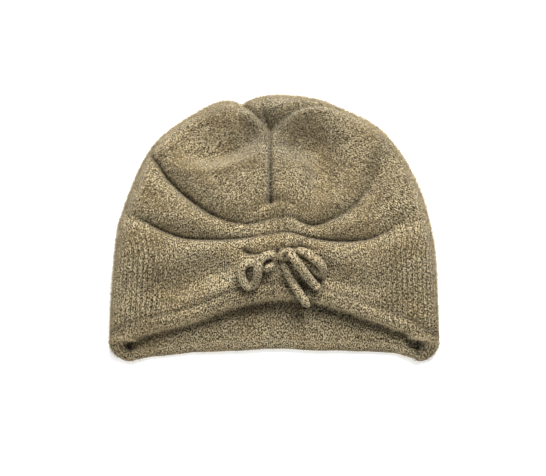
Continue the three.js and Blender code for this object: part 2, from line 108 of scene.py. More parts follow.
# name, width above, width below, sharpness, then rows of x, y, depth
FOLDS = [
    ("upper_crease", 18, 12, 1, [
        (-92.9, 52.8, 7), (-86.8, 45.2, 13), (-80.8, 36.1, 15.5), (-71.6, 27, 16),
        (-56.4, 14.8, 15), (-39.7, 5.7, 11), (-18.4, 1.9, 7.5), (0.6, 5.7, 5.5),
        (12, 6.5, 5.5), (29.4, 1.1, 9.5), (48.5, 8, 11), (59.1, 14.8, 10), (68, 24.5, 7.5),
        (75, 36, 4.5), (80, 48, 0)]),
    ("right_side_hollow", 18, 13, 0, [
        (62, 20, 0), (73, 30, 4), (83, 42, 8), (90, 54, 8), (94, 66, 5)]),
    ("lower_crease", 14, 10, 1, [
        (-109, 9, 0), (-102, 6, 5), (-94, 2, 10), (-84.5, -2.7, 12), (-70.1, -8, 13),
        (-48.8, -9.5, 12), (-22.2, -8.7, 8), (-7.8, -6.8, 6), (10.4, -4.6, 6),
        (28.7, -8.7, 9), (50, -11, 11.5), (70, -9.5, 10.5), (83, -5, 6), (93, 1, 2),
        (99, 6, 0)]),
    ("right_band_hollow", 16, 12, 0, [
        (80, -5, 0), (92, -1, 5), (102, 3, 6), (114, 7, 4)]),
    ("left_band_hollow", 12, 10, 0, [
        (-118, 12, 4), (-108, 7, 4), (-98, 2, 0)]),
    ("gather_top", 8, 6, 1, [
        (-20, 8, 0), (-9.3, 14.8, 3.5), (-3.2, 18.2, 6), (5.9, 18.6, 3.5), (15, 15.6, 2.5),
        (27, 7, 0)]),
    ("gather_foot", 8, 9, 1, [
        (-26, -17, 0), (-20.5, -19.6, 10), (-14, -21, 5), (2.9, -20.1, 5.5),
        (13.5, -17.1, 5.5), (20.3, -16, 7), (30, -18, 3), (44, -20.1, 0)]),
    ("gather_stitch", 3, 3, 0.5, [
        (5.1, 15, 0), (5.1, 6, 1.5), (5.1, -18, 1.5), (5.1, -22, 0)]),
    ("front_seam", 4, 5.5, 1, [
        (-2.9, 71.8, 3), (-2.9, 60.4, 5), (-2.9, 42.2, 7), (-2.9, 27, 9), (-2.9, 17.5, 10)]),
    ("left_seam", 15, 3.5, 1, [
        (-24.5, 93.1, 8), (-16.9, 86.6, 8), (-9.9, 79.8, 7.5), (-3.2, 73.3, 5)]),
    ("back_seam", 5, 6, 0.8, [
        (-3.2, 73.3, 4), (-5.5, 78.7, 4.5), (-7.8, 86.3, 3.5), (-9.3, 94, 1.5),
        (-9.5, 98, 0)]),
    ("right_seam", 14, 3.5, 1, [
        (-3.2, 73.3, 5), (1.5, 77, 7), (6.7, 80.8, 8), (15, 86.6, 8), (24.9, 90, 8),
        (36.3, 91.2, 7), (48.5, 89.7, 4.5), (61, 86, 0)]),
    ("left_rim", 5, 8, 0, [
        (-27.5, 88.5, -2), (-20.7, 82.5, -3), (-13.1, 75.6, -3), (-7.8, 69.5, -1.5)]),
    ("right_rim", 5, 8, 0, [
        (6.7, 74.9, -2), (15, 81.7, -3.5), (24.9, 86, -3.5), (36.3, 87.4, -3.5),
        (48.5, 86, -2.5), (60, 82, 0)]),
    ("apex_dimple", 18, 18, 0, [
        (-5, 74, 3), (0, 74, 3)]),
    ("left_dish", 30, 14, 0.1, [
        (-84, 58, 0), (-67.8, 53.5, 6), (-52.6, 53, 14), (-35.2, 56, 16.5), (-22.2, 61, 12),
        (-9.3, 69, 2)]),
    ("left_ridge", 7, 9, 0, [
        (-76, 43, 0), (-62, 45.5, -2), (-42, 45, -2.5), (-24, 51.5, -2.5), (-9, 62, 0)]),
    ("right_dish", 27, 19, 0.1, [
        (5.9, 68.8, 3), (15, 61, 14), (27, 58, 17), (35, 48, 12), (37, 31, 7),
        (37.8, 16.3, 0)]),
    ("left_brim_fold", 22, 16, 0, [
        (-108, -56, 0), (-92, -50, 3.5), (-66, -42, 6.5), (-42, -34, 6.5), (-24, -28, 0)]),
    ("right_brim_fold", 18, 12, 0, [
        (24, -29, 0), (38, -36, 5.5), (52, -41, 5.5), (72, -45, 3), (103, -43.7, 0)]),
    ("left_brim_swell", 12, 12, 0, [
        (-70, -58, 0), (-58, -54, -1), (-40, -46, -2.5), (-30, -46, 0)]),
    ("hem_groove", 14, 6, 0.8, [
        (-124, -80, 0), (-119, -76.5, 2.5), (-112, -73, 3.4), (-104, -70.4, 3.6),
        (-90, -67, 3.6), (-60, -59.5, 3.6), (-29, -48, 3.4), (-10, -43.2, 3),
        (5, -42.6, 2.6), (22, -43.6, 2.8), (33, -45.4, 3.2), (64, -55, 3.6),
        (90, -64.5, 3.6), (104, -70, 3.6), (114, -75, 3), (123, -81, 0)]),
]

# soft patches of painted highlight and shade on the cloth: x, y, half sizes, painted light and
# extra speckle
LIGHT_SHADE_PATCHES = [
    (-44, 47, 36, 9, 0.24, -0.9),
    (85, 42, 22, 22, -0.2, 0.3),
    (-52, 66, 26, 13, 0.04, 1.7),
    (44, 69, 24, 13, -0.24, 0.4),
    (52, 48, 26, 24, -0.02, 0.5),
    (3, 0, 26, 20, 0.12, 0.5),
    (-58, 30, 30, 13, 0.08, -0.2),
    (-75, -38, 45, 22, -0.1, 0.0),
    (78, -38, 45, 22, -0.08, 0.0),
]
APEX = (-3, 73.5)
INNER_DROP = 0.5                # the inside's edge lies this far under the outer edge
CREASE_SHADE_FIT = (0.8, 9, 1.5)           # painted shade in creases: least sharpness, full depth and reach of a crease that gets it

# ---- the cap's mesh ----
ROWS = (26, 14, 22, 20, 20, 20, 22, 14, 16)     # mesh rows between one course and the next
LEAST_ROWS = 3
INNER_ROWS = (34, 12)           # at full density, and the least
ROW_CROWDING = 1.8
SIDE_CROWDING = 0.25
TURN_RINGS = 8
BACK_NET = 12
# shares of the net's spacing, then millimetres
NET = {"rise": 0.866, "clear": 0.6, "join": 1e-5, "least_area": 1e-4}
EVEN_PASSES = 6
LEAST_STEP = 0.02
LIP_RINGS = 16
LIP_ROUND = -24                 # cloth length of the rolled hem

# ---- the cloth's own coordinates ----
CROWN_TURN = 22                 # the wales turn from straight to a fan within this of y = 0
FAN = {"knee": pi / 4, "spread": 1.6, "width": 1.03}
OVER_EDGE = 7
EVEN_ROWS = 15

# ---- the knit's relief ----
# where a feature lies along y: its foot, the fade there, its top and the fade there
BANDS = {
    "ribs": (-84, 14, 12, 25),
    "gather": (-24, 6, 20, 8),
    "stitching": (-24, 6, 16, 5),
    "front_seam": (16, 3, 62, 25),
}
RIB = {"pitch": 3.9, "height": 0.35, "inner": 62, "fade": 36}
PUCKER = {"x": 5.1, "pitch": 5.4, "height": 1.3, "middle": 5, "reach": 17}
PUCKER_SWAY = ((0.9, 3.1), (0.7, 4.3))          # size and wave along y and along x
STITCHING = {"depth": 1.2, "reach": 1.3}
FRONT_SEAM = {"x": -3, "reach": 1.1}
HEM_SEAM = {"x": -1, "reach": 0.9, "top": -42, "fade": 2}
SEAM_DEPTH = 0.7
RELIEF_EDGE = 9                 # the relief fades out over this near the edge
FLOOR_RIDGE = {"height": 2.2, "behind": 6, "reach": 13, "end": 95, "fade": 25, "lift": 0.4}
# soft lumps: size, height and seed
CAP_LUMPS = ((30, 1.0, 1), (11, 0.45, 2))
FLOOR_LUMPS = ((24, 0.7, 5), (9, 0.35, 6))
LIP_LUMPS = ((13, 0.45, 8),)
LUMP_STEP = (17.3, 5.1, 2.7)

# ---- shares that the materials read: painted light and shade, with the hem's darker tone, are added to 1 ----
SHARES = ("CreaseShade", "Reverse", "Speckle", "LightShadeTone", "Ribs", "Crown")
GROOVE_SHADE = (-0.22, 2.5)      # painted shade along the hem's groove, and its reach
# painted shade in the puckers' valleys and along the seams
PUCKER_SHADE = -0.3
SEAM_SHADE = -0.5
HEM_TONE = -0.33
HEM_START = (0.9, 0.5)          # rows before the hem, and the fade
# painted shade on the inside's ceiling, which darkens the slit under the hem
CEILING_SHADE = -0.6
# painted light and shade round the rolled hem; plain is the painted shade at the corners and the
# back
LIP_LIGHT_SHADE = {"start": -0.28, "top": 0.1, "rise": 0.2, "from": 0.32, "under": -0.7, "plain": -0.2}
# painted shade that grows round the rolled hem towards its underside
LIP_UNDER_SHADE = 0.8
FACE_FUZZ = (0.12, 7)           # share on the face, and the reach of the edge's
LIP_FUZZ = {"share": 0.7, "least_height": 4, "last": 0.6}

# ---- the bow ----
CORD_R = 3.3
CORD_SIDES = 40
CORD_STEP = 0.42                # between one ring of points and the next
CORD_WALES = 8                  # stitches round the cord
CORD_WALE, CORD_COURSE = 2.6, 2.3
CORD_STITCH = {"height": 0.34, "level": 0.45, "slant": 1.3, "leg": 0.7}
FRAYED = {"fibres": 7.0, "reach": 5, "taper": 6, "dome": 1.2}
TIP = 0.02                      # the dome of an end is worked out from this far in
LEAST_RADIUS = 0.12
# x, y and lift, then size
KNOT = ((8.3, -22, 4.6), (11, 9.5, 8.5))
KNOT_NET = (46, 64)
KNOT_POLE = 0.92
KNOT_WRAP = {"core": 0.9, "height": 0.12, "round": 0.6, "waves": 1.5, "along": (0.7, 0.9),
             "start": 0.6}
KNOT_STITCH = {"height": 0.03, "waves": (13, 15, 9)}
# each cord's route: x, y and its lift over the cap
CORDS = {
    "left_loop": [
        (1.2, -22.4, 6.3), (-2, -22.4, 8), (-6.8, -23.7, 9.8), (-10.8, -27.6, 11.2),
        (-12.4, -34.4, 10.2), (-13, -40, 6.4), (-16, -44.6, 4.2), (-20.2, -45.2, 4),
        (-23.8, -41, 4), (-24.9, -35.4, 4), (-23, -30.6, 3.8), (-18.4, -28.2, 3.4),
        (-12.9, -29.2, 3.3), (-7.8, -31.9, 3.4), (-3.2, -31.1, 3.7), (0.1, -28.9, 4.1)],
    "right_loop": [
        (16.4, -20, 5.6), (19.4, -20, 7), (23.4, -21.4, 8.6), (28.5, -24.8, 9.6),
        (33.3, -28.3, 9.2), (36.4, -32.2, 7), (36.2, -35.4, 4.2), (33.2, -35.4, 3.5),
        (29.6, -32.2, 3.5), (25.6, -29.2, 3.5), (21.2, -27, 3.5), (17.6, -25.2, 3.5)],
    "over_tail": [
        (9.2, -18.2, 12.6), (12.9, -23.8, 13.2), (17, -28.8, 12.2), (21, -33.6, 9.8),
        (25.2, -38.6, 6.6), (29.2, -43, 4.6), (34, -47.6, 3.8)],
    "under_tail": [
        (6.9, -28.2, 4), (9.8, -33.6, 4), (12.4, -39.4, 3.9), (16, -46, 3.9),
        (20, -52.4, 3.8), (26.4, -60.9, 2.2)],
}

# ---- yarn ----
YARN_LOOK = {"cap": {"shade": 0.62, "contrast": 1.45}, "cord": {"shade": 0.85, "contrast": 2.8}}
# noises per metre of the piece: scale, detail and roughness
NOISES = {
    "fluff": (950.0, 3.0, 0.6),
    "clump": (420.0, 2.0, 0.55),
    "speck": (900.0, 1.0, 0.6),
    "fine": (1050.0, 1.0, 0.5),
    "patch": (60.0, 2.0, 0.5),
    "worn": (38.0, 1.0, 0.5),
}
DRIFT = (210.0, 2.4)            # scale, and how far it moves the stitches in millimetres
STRANDS = (1.2, 0.6, 0.0)       # flecks per millimetre across and along the cloth
STRAND_NOISE = (1.0, 1.0, 0.6)
STITCH = {"leg": 0.6, "slant": 1.5}
FLECKS = {"strand": 0.55, "fine": 0.45, "stitch": 0.07, "patch": 0.05, "crown_specks": 0.6}
CONTRAST = {"speckle": 0.3, "crown": -0.3, "worn": 2.0}
GAPS = {"stitch": 0.6, "clump": 0.8}
HEIGHTS = {"stitch": 0.5, "fluff": 0.85, "clump": 0.3}
YARN_STOPS = (0.405, 0.48, 0.56, 0.64)
GAP_STOPS = (0.1, 0.5)
TINTS = [(0.34, (1.02, 0.995, 0.955)), (0.5, (1, 1, 1)), (0.66, (0.99, 1.0, 1.0))]
RIB_SHADE = 0.62
CREASE_SHADE = (0.6, (0.012, 0.009, 0.005, 1))       # share and colour of the painted shade in deep creases
# painted shade on the inside faces and the rolled hem's underside: share and colour
INSIDE_SHADE = (0.33, (0.02, 0.016, 0.01, 1))
BUMP = {"Strength": 0.85, "Distance": 0.0011}
KNIT_FINISH = {
    "Roughness": 0.92, "Sheen Weight": 0.25, "Sheen Roughness": 0.5,
    "Sheen Tint": (0.9, 0.86, 0.74, 1), "Specular IOR Level": 0.15}
FIBRE_FINISH = {"Roughness": 1.0, "Specular IOR Level": 0.05}
FIBRE_TONES = (300.0, 0.4, 0.6)                 # noise scale, and its two stops
FIBRE_LEAN = ((-1, -1, -0.5), (1, 1, 1))
FIBRE_SIZES = (0.5, 1.3)
BOW_FIBRES = {"share": 0.6, "length": 0.7}
FUZZ_SEEDS = {"cap": 11, "bow": 12}

# ---- studio, in metres and degrees ----
FLOOR_HALF = 3.0
FLOOR_TONES = (9.0, (0.3, 0.86), (0.7, 0.88))   # noise scale, and its stops with their greys
FLOOR_FINISH = {"Roughness": 0.9, "Specular IOR Level": 0.1, "Emission Color": (1, 1, 1, 1)}
# place, size and share of the key's power
LIGHTS = {
    "key_light": ((0.33, 1.05, 1.45), 0.9, 1.0),
    "fill_light": ((-0.9, -0.9, 1.2), 1.2, 0.2),
}
AIM_HEIGHT = 0.02
CAMERA = {"elevation": 84, "distance": 1.2, "aim": (-0.95, -8), "view_width": 0.415,
          "sensor": 36}
VIEW = {"view_transform": "Standard", "gamma": 0.85, "exposure": 0.22}


# ---------------------------------------------------------------- small functions
def lerp(a, b, t):
    return a + (b - a) * t


def smooth(t):
    t = np.clip(t, 0, 1)
    return t * t * (3 - 2 * t)


def bulge(t):
    return np.sqrt(np.maximum(0, 1 - (1 - np.clip(t, 0, 1)) ** 2))


def hill(t):
    return np.exp(-t ** 2)


def along(values, at):
    """Eased value of an evenly spaced list, at positions counted in steps."""
    values = np.asarray(values, float)
    at = np.asarray(at, float)
    k = np.clip(np.floor(at).astype(int), 0, len(values) - 2)
    t = at - k
    a, b, c, d = (values[np.clip(k + i, 0, len(values) - 1)] for i in (-1, 0, 1, 2))
    if values.ndim > 1:
        t = t[..., None]
    return 0.5 * (2 * b + (c - a) * t + (2 * a - 5 * b + 4 * c - d) * t ** 2
                  + (3 * b - a - 3 * c + d) * t ** 3)


def spline(rows, per_row=12):
    """Centripetal curve through the rows, as a dense polyline."""
    rows = np.array([tuple(row) + (0,) * (3 - len(row)) for row in rows], float)
    padded = np.vstack([2 * rows[0] - rows[1], rows, 2 * rows[-1] - rows[-2]])
    out = []
    for p0, p1, p2, p3 in zip(padded, padded[1:], padded[2:], padded[3:]):
        gaps = [max(np.linalg.norm(q - p) ** 0.5, 1e-4)
                for p, q in ((p0, p1), (p1, p2), (p2, p3))]
        t1 = (p1 - p0) / gaps[0] - (p2 - p0) / (gaps[0] + gaps[1]) + (p2 - p1) / gaps[1]
        t2 = (p2 - p1) / gaps[1] - (p3 - p1) / (gaps[1] + gaps[2]) + (p3 - p2) / gaps[2]
        t1, t2 = t1 * gaps[1], t2 * gaps[1]
        for w in np.arange(per_row) / per_row:
            out.append(p1 + t1 * w + (-3 * p1 + 3 * p2 - 2 * t1 - t2) * w ** 2
                       + (2 * p1 - 2 * p2 + t1 + t2) * w ** 3)
    out.append(rows[-1])
    return np.array(out)


def length_shares(line):
    """Share of a polyline's length at each of its points."""
    steps = np.linalg.norm(np.diff(line, axis=0), axis=1)
    return np.r_[0, np.cumsum(steps)] / steps.sum()


def by_length(line, count=None):
    """Sampler of a polyline by share of its length, or so many points of it."""
    share = length_shares(line)

    def sample(at):
        return np.stack([np.interp(at, share, line[:, i]) for i in range(line.shape[1])], -1)
    return sample if count is None else sample(np.linspace(0, 1, count))


def nearest(line, x, y):
    """Distance to a polyline, its third value there and the side (+1 is left of it)."""
    shape = np.shape(x)
    x, y = np.ravel(x), np.ravel(y)
    gap = np.full(x.shape, np.inf)
    value = np.zeros(x.shape)
    side = np.ones(x.shape)
    for a, b in zip(line, line[1:]):
        dx, dy = b[0] - a[0], b[1] - a[1]
        px, py = x - a[0], y - a[1]
        t = np.clip((px * dx + py * dy) / (dx * dx + dy * dy), 0, 1)
        new = (px - dx * t) ** 2 + (py - dy * t) ** 2
        near = new < gap
        gap = np.where(near, new, gap)
        value = np.where(near, a[2] + (b[2] - a[2]) * t, value)
        side = np.where(near, np.where(dx * py - dy * px >= 0, 1, -1), side)
    return np.sqrt(gap).reshape(shape), value.reshape(shape), side.reshape(shape)


# ---------------------------------------------------------------- heights of the cap
edge_dense = spline(OUTLINE, OUTLINE_STEPS)
edge_at = by_length(edge_dense)
EDGE_LINE = by_length(edge_dense, 260)
LEFT, RIGHT = (length_shares(edge_dense)[row * OUTLINE_STEPS] for row in CORNER_ROWS)
FOLD_LINES = [(above, below, sharp, spline(rows, 5)) for _, above, below, sharp, rows in FOLDS]
GROOVE_LINE = FOLD_LINES[-1][-1]
SHIFT = np.array([(CAP_BOX[0][0] + CAP_BOX[1][0]) / 2 / MM
                  - (edge_dense[:, 0].min() + edge_dense[:, 0].max()) / 2,
                  CAP_BOX[1][1] / MM - edge_dense[:, 1].max(), 0])


def sink(x, y, soft=0.0):
    total = np.zeros(np.shape(x))
    for above, below, sharp, line in FOLD_LINES:
        reach = max(above, below)
        low, high = line.min(0) - reach, line.max(0) + reach
        near = (x > low[0]) & (x < high[0]) & (y > low[1]) & (y < high[1])
        if not near.any():
            continue
        gap, value, side = nearest(line, x[near], y[near])
        q = np.clip(gap / np.where(side > 0, above, below), 0, 1)
        dip = np.cos(q * pi / 2) ** 2
        pressed = (1 - bulge(q)) ** np.where(side > 0, UPPER_BANK, LOWER_BANK)
        total[near] += value * lerp(dip, pressed, sharp * (1 - soft))
    return total


def crease_shade_share(x, y):
    """Share of painted shade in the creases: 1 at the bottom of a deep crease."""
    share = np.zeros(np.shape(x))
    least, full, reach = CREASE_SHADE_FIT
    for _, _, sharp, line in FOLD_LINES:
        if sharp >= least:
            gap, value, _ = nearest(line, x, y)
            share = np.maximum(share, np.clip(value / full, 0, 1) * hill(gap / reach))
    return share


def crown_share(y):
    return smooth((y - CROWN_Y[0]) / (CROWN_Y[1] - CROWN_Y[0]))


def edge_height(y):
    return lerp(EDGE[0], EDGE[1], crown_share(y))


def profile_height(y):
    ys, zs = np.array(PROFILE, float).T
    return along(zs, np.interp(y, ys, np.arange(len(ys))))


def front_height(x, y, soft=0.0, gap=None):
    x, y = np.asarray(x, float), np.asarray(y, float)
    turn = lerp(TURN_TOP[0], TURN_TOP[1], crown_share(y))
    drop = SIDE_DROP[0] * (np.abs(x) / HALF_WIDTH) ** SIDE_DROP[1]
    full = profile_height(y) * (1 - drop) - sink(x, y, soft)
    if gap is None:
        gap = nearest(EDGE_LINE, x, y)[0]
    edge = edge_height(y)
    return edge + (full - edge) * bulge(gap / turn)


def ceiling_height(x, y):
    gap = nearest(EDGE_LINE, x, y)[0]
    edge = edge_height(y) - INNER_DROP
    full = front_height(x, y, 1, gap) - WALL
    return edge + (full - edge) * bulge((gap - FOLD_THICK) / TURN_INSIDE)


# ---------------------------------------------------------------- plan of the cap
SIDE_SHARES = [share for share, _ in COURSES]
LAST = len(COURSES) - 1


def side_share(v):
    return np.clip(along(SIDE_SHARES, v), 0, 1)


def side_point(share, right):
    return edge_at(lerp(RIGHT, 1, share) if right else LEFT * (1 - share))[..., :2]


def course(values, share):
    left, right = side_point(share, False), side_point(share, True)
    ys = [left[1], *values, right[1]]

    def line(u):
        return np.stack([lerp(left[0], right[0], u), along(ys, u * (len(ys) - 1))], -1)
    return line


def crown_edge(u):
    return edge_at(lerp(LEFT, RIGHT, u))[..., :2]


COURSE_LINES = [crown_edge if ys is None else course(ys, share) for share, ys in COURSES]


def back_hem(x):
    return along(BACK_HEM, (x + HALF_WIDTH) / (2 * HALF_WIDTH) * (len(BACK_HEM) - 1))


def front_plan(u, v, lifted=1):
    """Plan points of a grid: u is an array of columns (or a grid), v a list of rows."""
    rows = []
    u = np.asarray(u, float)
    for j, row in enumerate(v):
        across = u if u.ndim == 1 else u[j]
        lines = np.stack([line(across) for line in COURSE_LINES])
        ends = np.stack([line(np.array([0.0, 1.0])) for line in COURSE_LINES])
        at = along(lines.reshape(len(lines), -1), np.array(row)).reshape(across.shape + (2,))
        end = along(ends.reshape(len(ends), -1), np.array(row)).reshape(2, 2)
        share = side_share(row)
        at = at + ((1 - across) ** SIDE_PULL)[:, None] * (side_point(share, False) - end[0])
        at = at + (across ** SIDE_PULL)[:, None] * (side_point(share, True) - end[1])
        gap = np.minimum(across, 1 - across) * (side_point(share, True)[0]
                                                - side_point(share, False)[0])
        most, turn, reach = CORNER_RISE
        rise = lifted * most * bulge(gap / turn) * np.maximum(0, 1 - gap / reach)
        at[:, 1] += rise * smooth(row - LAST + 1)
        rows.append(at)
    return np.array(rows)


def inner_columns(u, v):
    rows = []
    for row in v:
        share = side_share(row)
        width = side_point(share, True)[0] - side_point(share, False)[0]
        gap = np.minimum(u, 1 - u) * width
        inset = (gap + FOLD_THICK * (1 - smooth(gap / FOLD_BLEND))) / width
        rows.append(np.where(u < 0.5, inset, 1 - inset))
    return np.array(rows)


def corner_share(x):
    return smooth((np.abs(x) - CORNER_BLEND[0]) / (CORNER_BLEND[1] - CORNER_BLEND[0]))


def hem_shift(x, base):
    return np.sqrt(base ** 2 - (WALL - base) ** 2) * (1 - corner_share(x))


def lumps(points, rows):
    """Soft lumps at millimetre points: a sum of smooth noises."""
    total = np.zeros(len(points))
    for size, height, seed in rows:
        step = Vector([seed * part for part in LUMP_STEP])
        total += height * np.array([noise.noise(Vector(p) / size + step) for p in points])
    return total


# ---------------------------------------------------------------- mesh store
def wrapped(grid):
    """A grid that ends with its first column again."""
    return np.concatenate([grid, grid[:, :1]], axis=1)


class Sheet:
    """Collects points and faces, with a cloth coordinate for every face corner."""

    def __init__(self):
        self.points, self.count = [], 0
        self.faces, self.coords = [], []
        self.shares = {name: [] for name in (*SHARES, "Fuzz")}

    def put(self, points):
        points = np.asarray(points, float)
        flat = points.reshape(-1, 3)
        ids = np.arange(self.count, self.count + len(flat)).reshape(points.shape[:-1])
        self.points.append(flat)
        self.count += len(flat)
        return ids

    def share(self, name, ids, values):
        self.shares[name].append((ids, values))

    def all_points(self):
        return np.vstack(self.points)

    def grid(self, ids, coords, flip=False):
        corners = [(slice(None, -1), slice(None, -1)), (slice(1, None), slice(None, -1)),
                   (slice(1, None), slice(1, None)), (slice(None, -1), slice(1, None))]
        if flip:
            corners = corners[::-1]
        self.faces.append(np.stack([ids[c].ravel() for c in corners], -1))
        self.coords.append(np.stack([coords[c].reshape(-1, 2) for c in corners], 1))

    def close_ends(self, ids, tips, ahead):
        """Closes the first and the last ring of a tube with a fan of faces round each tip."""
        for ring, tip in zip((ids[0], np.roll(ids[-1, ::-1], 1)), tips):
            fan = [ring, np.roll(ring, -1)]
            centre = np.full(len(ring), self.put(np.array([tip]))[0])
            self.faces.append(np.stack([*(fan if ahead else fan[::-1]), centre], -1))
            self.coords.append(np.zeros((len(ring), 3, 2)))

    def fill(self, loop, face_up, spacing, relief=None):
        """Fills a flat loop with a fine triangle net."""
        points = self.all_points()
        border = points[loop]
        low, high = border.min(0), border.max(0)
        inside = []
        rise = spacing * NET["rise"]
        for j in range(1, int((high[1] - low[1]) / rise)):
            xs = np.arange(low[0] + spacing * (0.5 if j % 2 else 1), high[0], spacing)
            inside.append(np.stack([xs, np.full(xs.shape, low[1] + j * rise)], -1))
        inside = np.vstack(inside)
        closed = np.vstack([border, border[:1]])
        gap = nearest(closed * [1, 1, 0], inside[:, 0], inside[:, 1])[0]
        inside = inside[(gap > spacing * NET["clear"]) & in_loop(border, inside)]
        flat = [Vector(p[:2]) for p in border] + [Vector(p) for p in inside]
        edges = [(i, (i + 1) % len(loop)) for i in range(len(loop))]
        result = geometry.delaunay_2d_cdt(flat, edges, [], 1, NET["join"], True)
        heights = np.full(len(inside), border[0, 2])
        if relief is not None:
            heights = heights + relief(inside[:, 0], inside[:, 1])
        ids = np.r_[loop, self.put(np.column_stack([inside, heights]))]
        table = np.array([ids[source[0]] for source in result[3]])
        triangles = table[np.array(result[2])]
        corners = self.all_points()[triangles][..., :2]
        ahead, aside = corners[:, 1] - corners[:, 0], corners[:, 2] - corners[:, 0]
        area = ahead[:, 0] * aside[:, 1] - ahead[:, 1] * aside[:, 0]
        kept = in_loop(border, corners.mean(axis=1)) & (np.abs(area) > NET["least_area"])
        triangles, corners, area = triangles[kept], corners[kept], area[kept]
        turned = (area > 0) != face_up
        triangles[turned] = triangles[turned][:, [0, 2, 1]]
        corners[turned] = corners[turned][:, [0, 2, 1]]
        self.faces.append(triangles)
        self.coords.append(corners)

    def to_mesh(self, name):
        points = (self.all_points() + SHIFT) * MM
        faces = [tuple(int(i) for i in face) for block in self.faces for face in block]
        mesh = bpy.data.meshes.new(name)
        mesh.from_pydata(points.tolist(), [], faces)
        for share, parts in self.shares.items():
            values = np.zeros(len(points), np.float32)
            for ids, part in parts:
                values[np.ravel(ids)] = np.ravel(part)
            mesh.attributes.new(share, "FLOAT", "POINT").data.foreach_set("value", values)
        layer = mesh.uv_layers.new(name="Cloth")
        coords = np.vstack([block.reshape(-1, 2) for block in self.coords])
        layer.data.foreach_set("uv", coords.astype(np.float32).ravel())
        mesh.shade_smooth()
        mesh.update()
        return mesh


def in_loop(border, points):
    inside = np.zeros(len(points), bool)
    x, y = points[:, 0], points[:, 1]
    ends = np.roll(border, -1, axis=0)
    for (ax, ay, _), (bx, by, _) in zip(border, ends):
        crosses = (ay > y) != (by > y)
        if ay != by:
            inside ^= crosses & (x < (bx - ax) * (y - ay) / (by - ay) + ax)
    return inside


def add_piece(mesh, node, material):
    piece = bpy.data.objects.new(node + "_dressed", mesh)
    bpy.context.scene.collection.objects.link(piece)
    mesh.materials.clear()
    mesh.materials.append(material)
    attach(piece, "root")
    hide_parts(node)
    return piece


# ---------------------------------------------------------------- the cap's mesh
def inset_ring(store, edge, turn, share, drop):
    """Moves an edge inwards in plan, and its ends towards the back hem."""
    points = store.all_points()[edge]
    run = np.gradient(smooth_line(points[:, :2]), axis=0)
    run /= np.linalg.norm(run, axis=1)[:, None]
    out = points.copy()
    foot = np.where(np.arange(len(edge)) < len(edge) / 2, points[0, 1], points[-1, 1])
    near = smooth(1 - (points[:, 1] - foot) / CORNER_DROP["reach"])
    distance = turn * share * (1 - drop[1] * near)
    out[:, 0] += run[:, 1] * distance
    out[:, 1] -= run[:, 0] * distance
    out[:, :2] = untangle(out[:, :2], run)
    out[:, 1] -= drop[0] * near * bulge(share)
    return out


def smooth_line(line):
    """Evens out a line between its fixed ends."""
    line = line.copy()
    for _ in range(EVEN_PASSES):
        line[1:-1] += ((line[:-2] + line[2:]) / 2 - line[1:-1]) * 0.5
    return line


def untangle(line, run, tries=60):
    """Slides points along the line wherever an inset has turned the line back on itself."""
    for _ in range(tries):
        step = np.sum((line[1:] - line[:-1]) * (run[1:] + run[:-1]) / 2, axis=1)
        bad = np.flatnonzero(step < LEAST_STEP)
        if not len(bad):
            break
        for i in bad:
            low, high = max(i - 2, 0), min(i + 3, len(line) - 1)
            share = np.linspace(0, 1, high - low + 1)[1:-1, None]
            line[low + 1:high] = line[low] + (line[high] - line[low]) * share
    return line


def shell_face(store, ids, coords, turn, drop, floor, back_shift, flip, spacing, relief=None):
    """A front grid, its turned edge and its flat back; returns the hem loop."""
    store.grid(ids, coords, flip)
    left, right = ids[::-1, 0], ids[:, -1]
    edge = np.r_[left, ids[0, 1:-1], right]
    shares = 1 - np.cos(np.linspace(0, pi / 2, TURN_RINGS + 1))[1:]
    stack = [edge]
    start = store.all_points()[edge]
    for share in shares:
        ring = inset_ring(store, edge, turn, share, drop)
        ring[:, 2] = start[:, 2] - (start[:, 2] - floor) * bulge(share)
        stack.append(store.put(ring))
    stack = np.array(stack)
    placed = store.all_points()[stack]
    plan = placed[..., :2]
    inward = plan[-1] - plan[0]
    inward /= np.linalg.norm(inward, axis=1)[:, None] + 1e-9
    dive = start[:, 2] - placed[..., 2]
    store.grid(stack, plan + inward * dive[..., None], not flip)
    last = stack[-1]
    points = store.all_points()
    columns = (ids.shape[1] - 1) // 2
    x = np.linspace(points[last[-1], 0], points[last[0], 0], columns + 1)[1:-1]
    hem = back_hem(x) + back_shift(x)
    middle = store.put(np.column_stack([x, hem, np.full(x.shape, floor)]))
    store.fill(np.r_[last, middle], flip, spacing, relief)
    return np.r_[ids[-1], stack[1:, -1], middle, stack[1:, 0][::-1]]


def crowd(count, pull):
    t = np.linspace(0, 1, count + 1)
    return t - pull * np.sin(2 * pi * t) / (2 * pi)


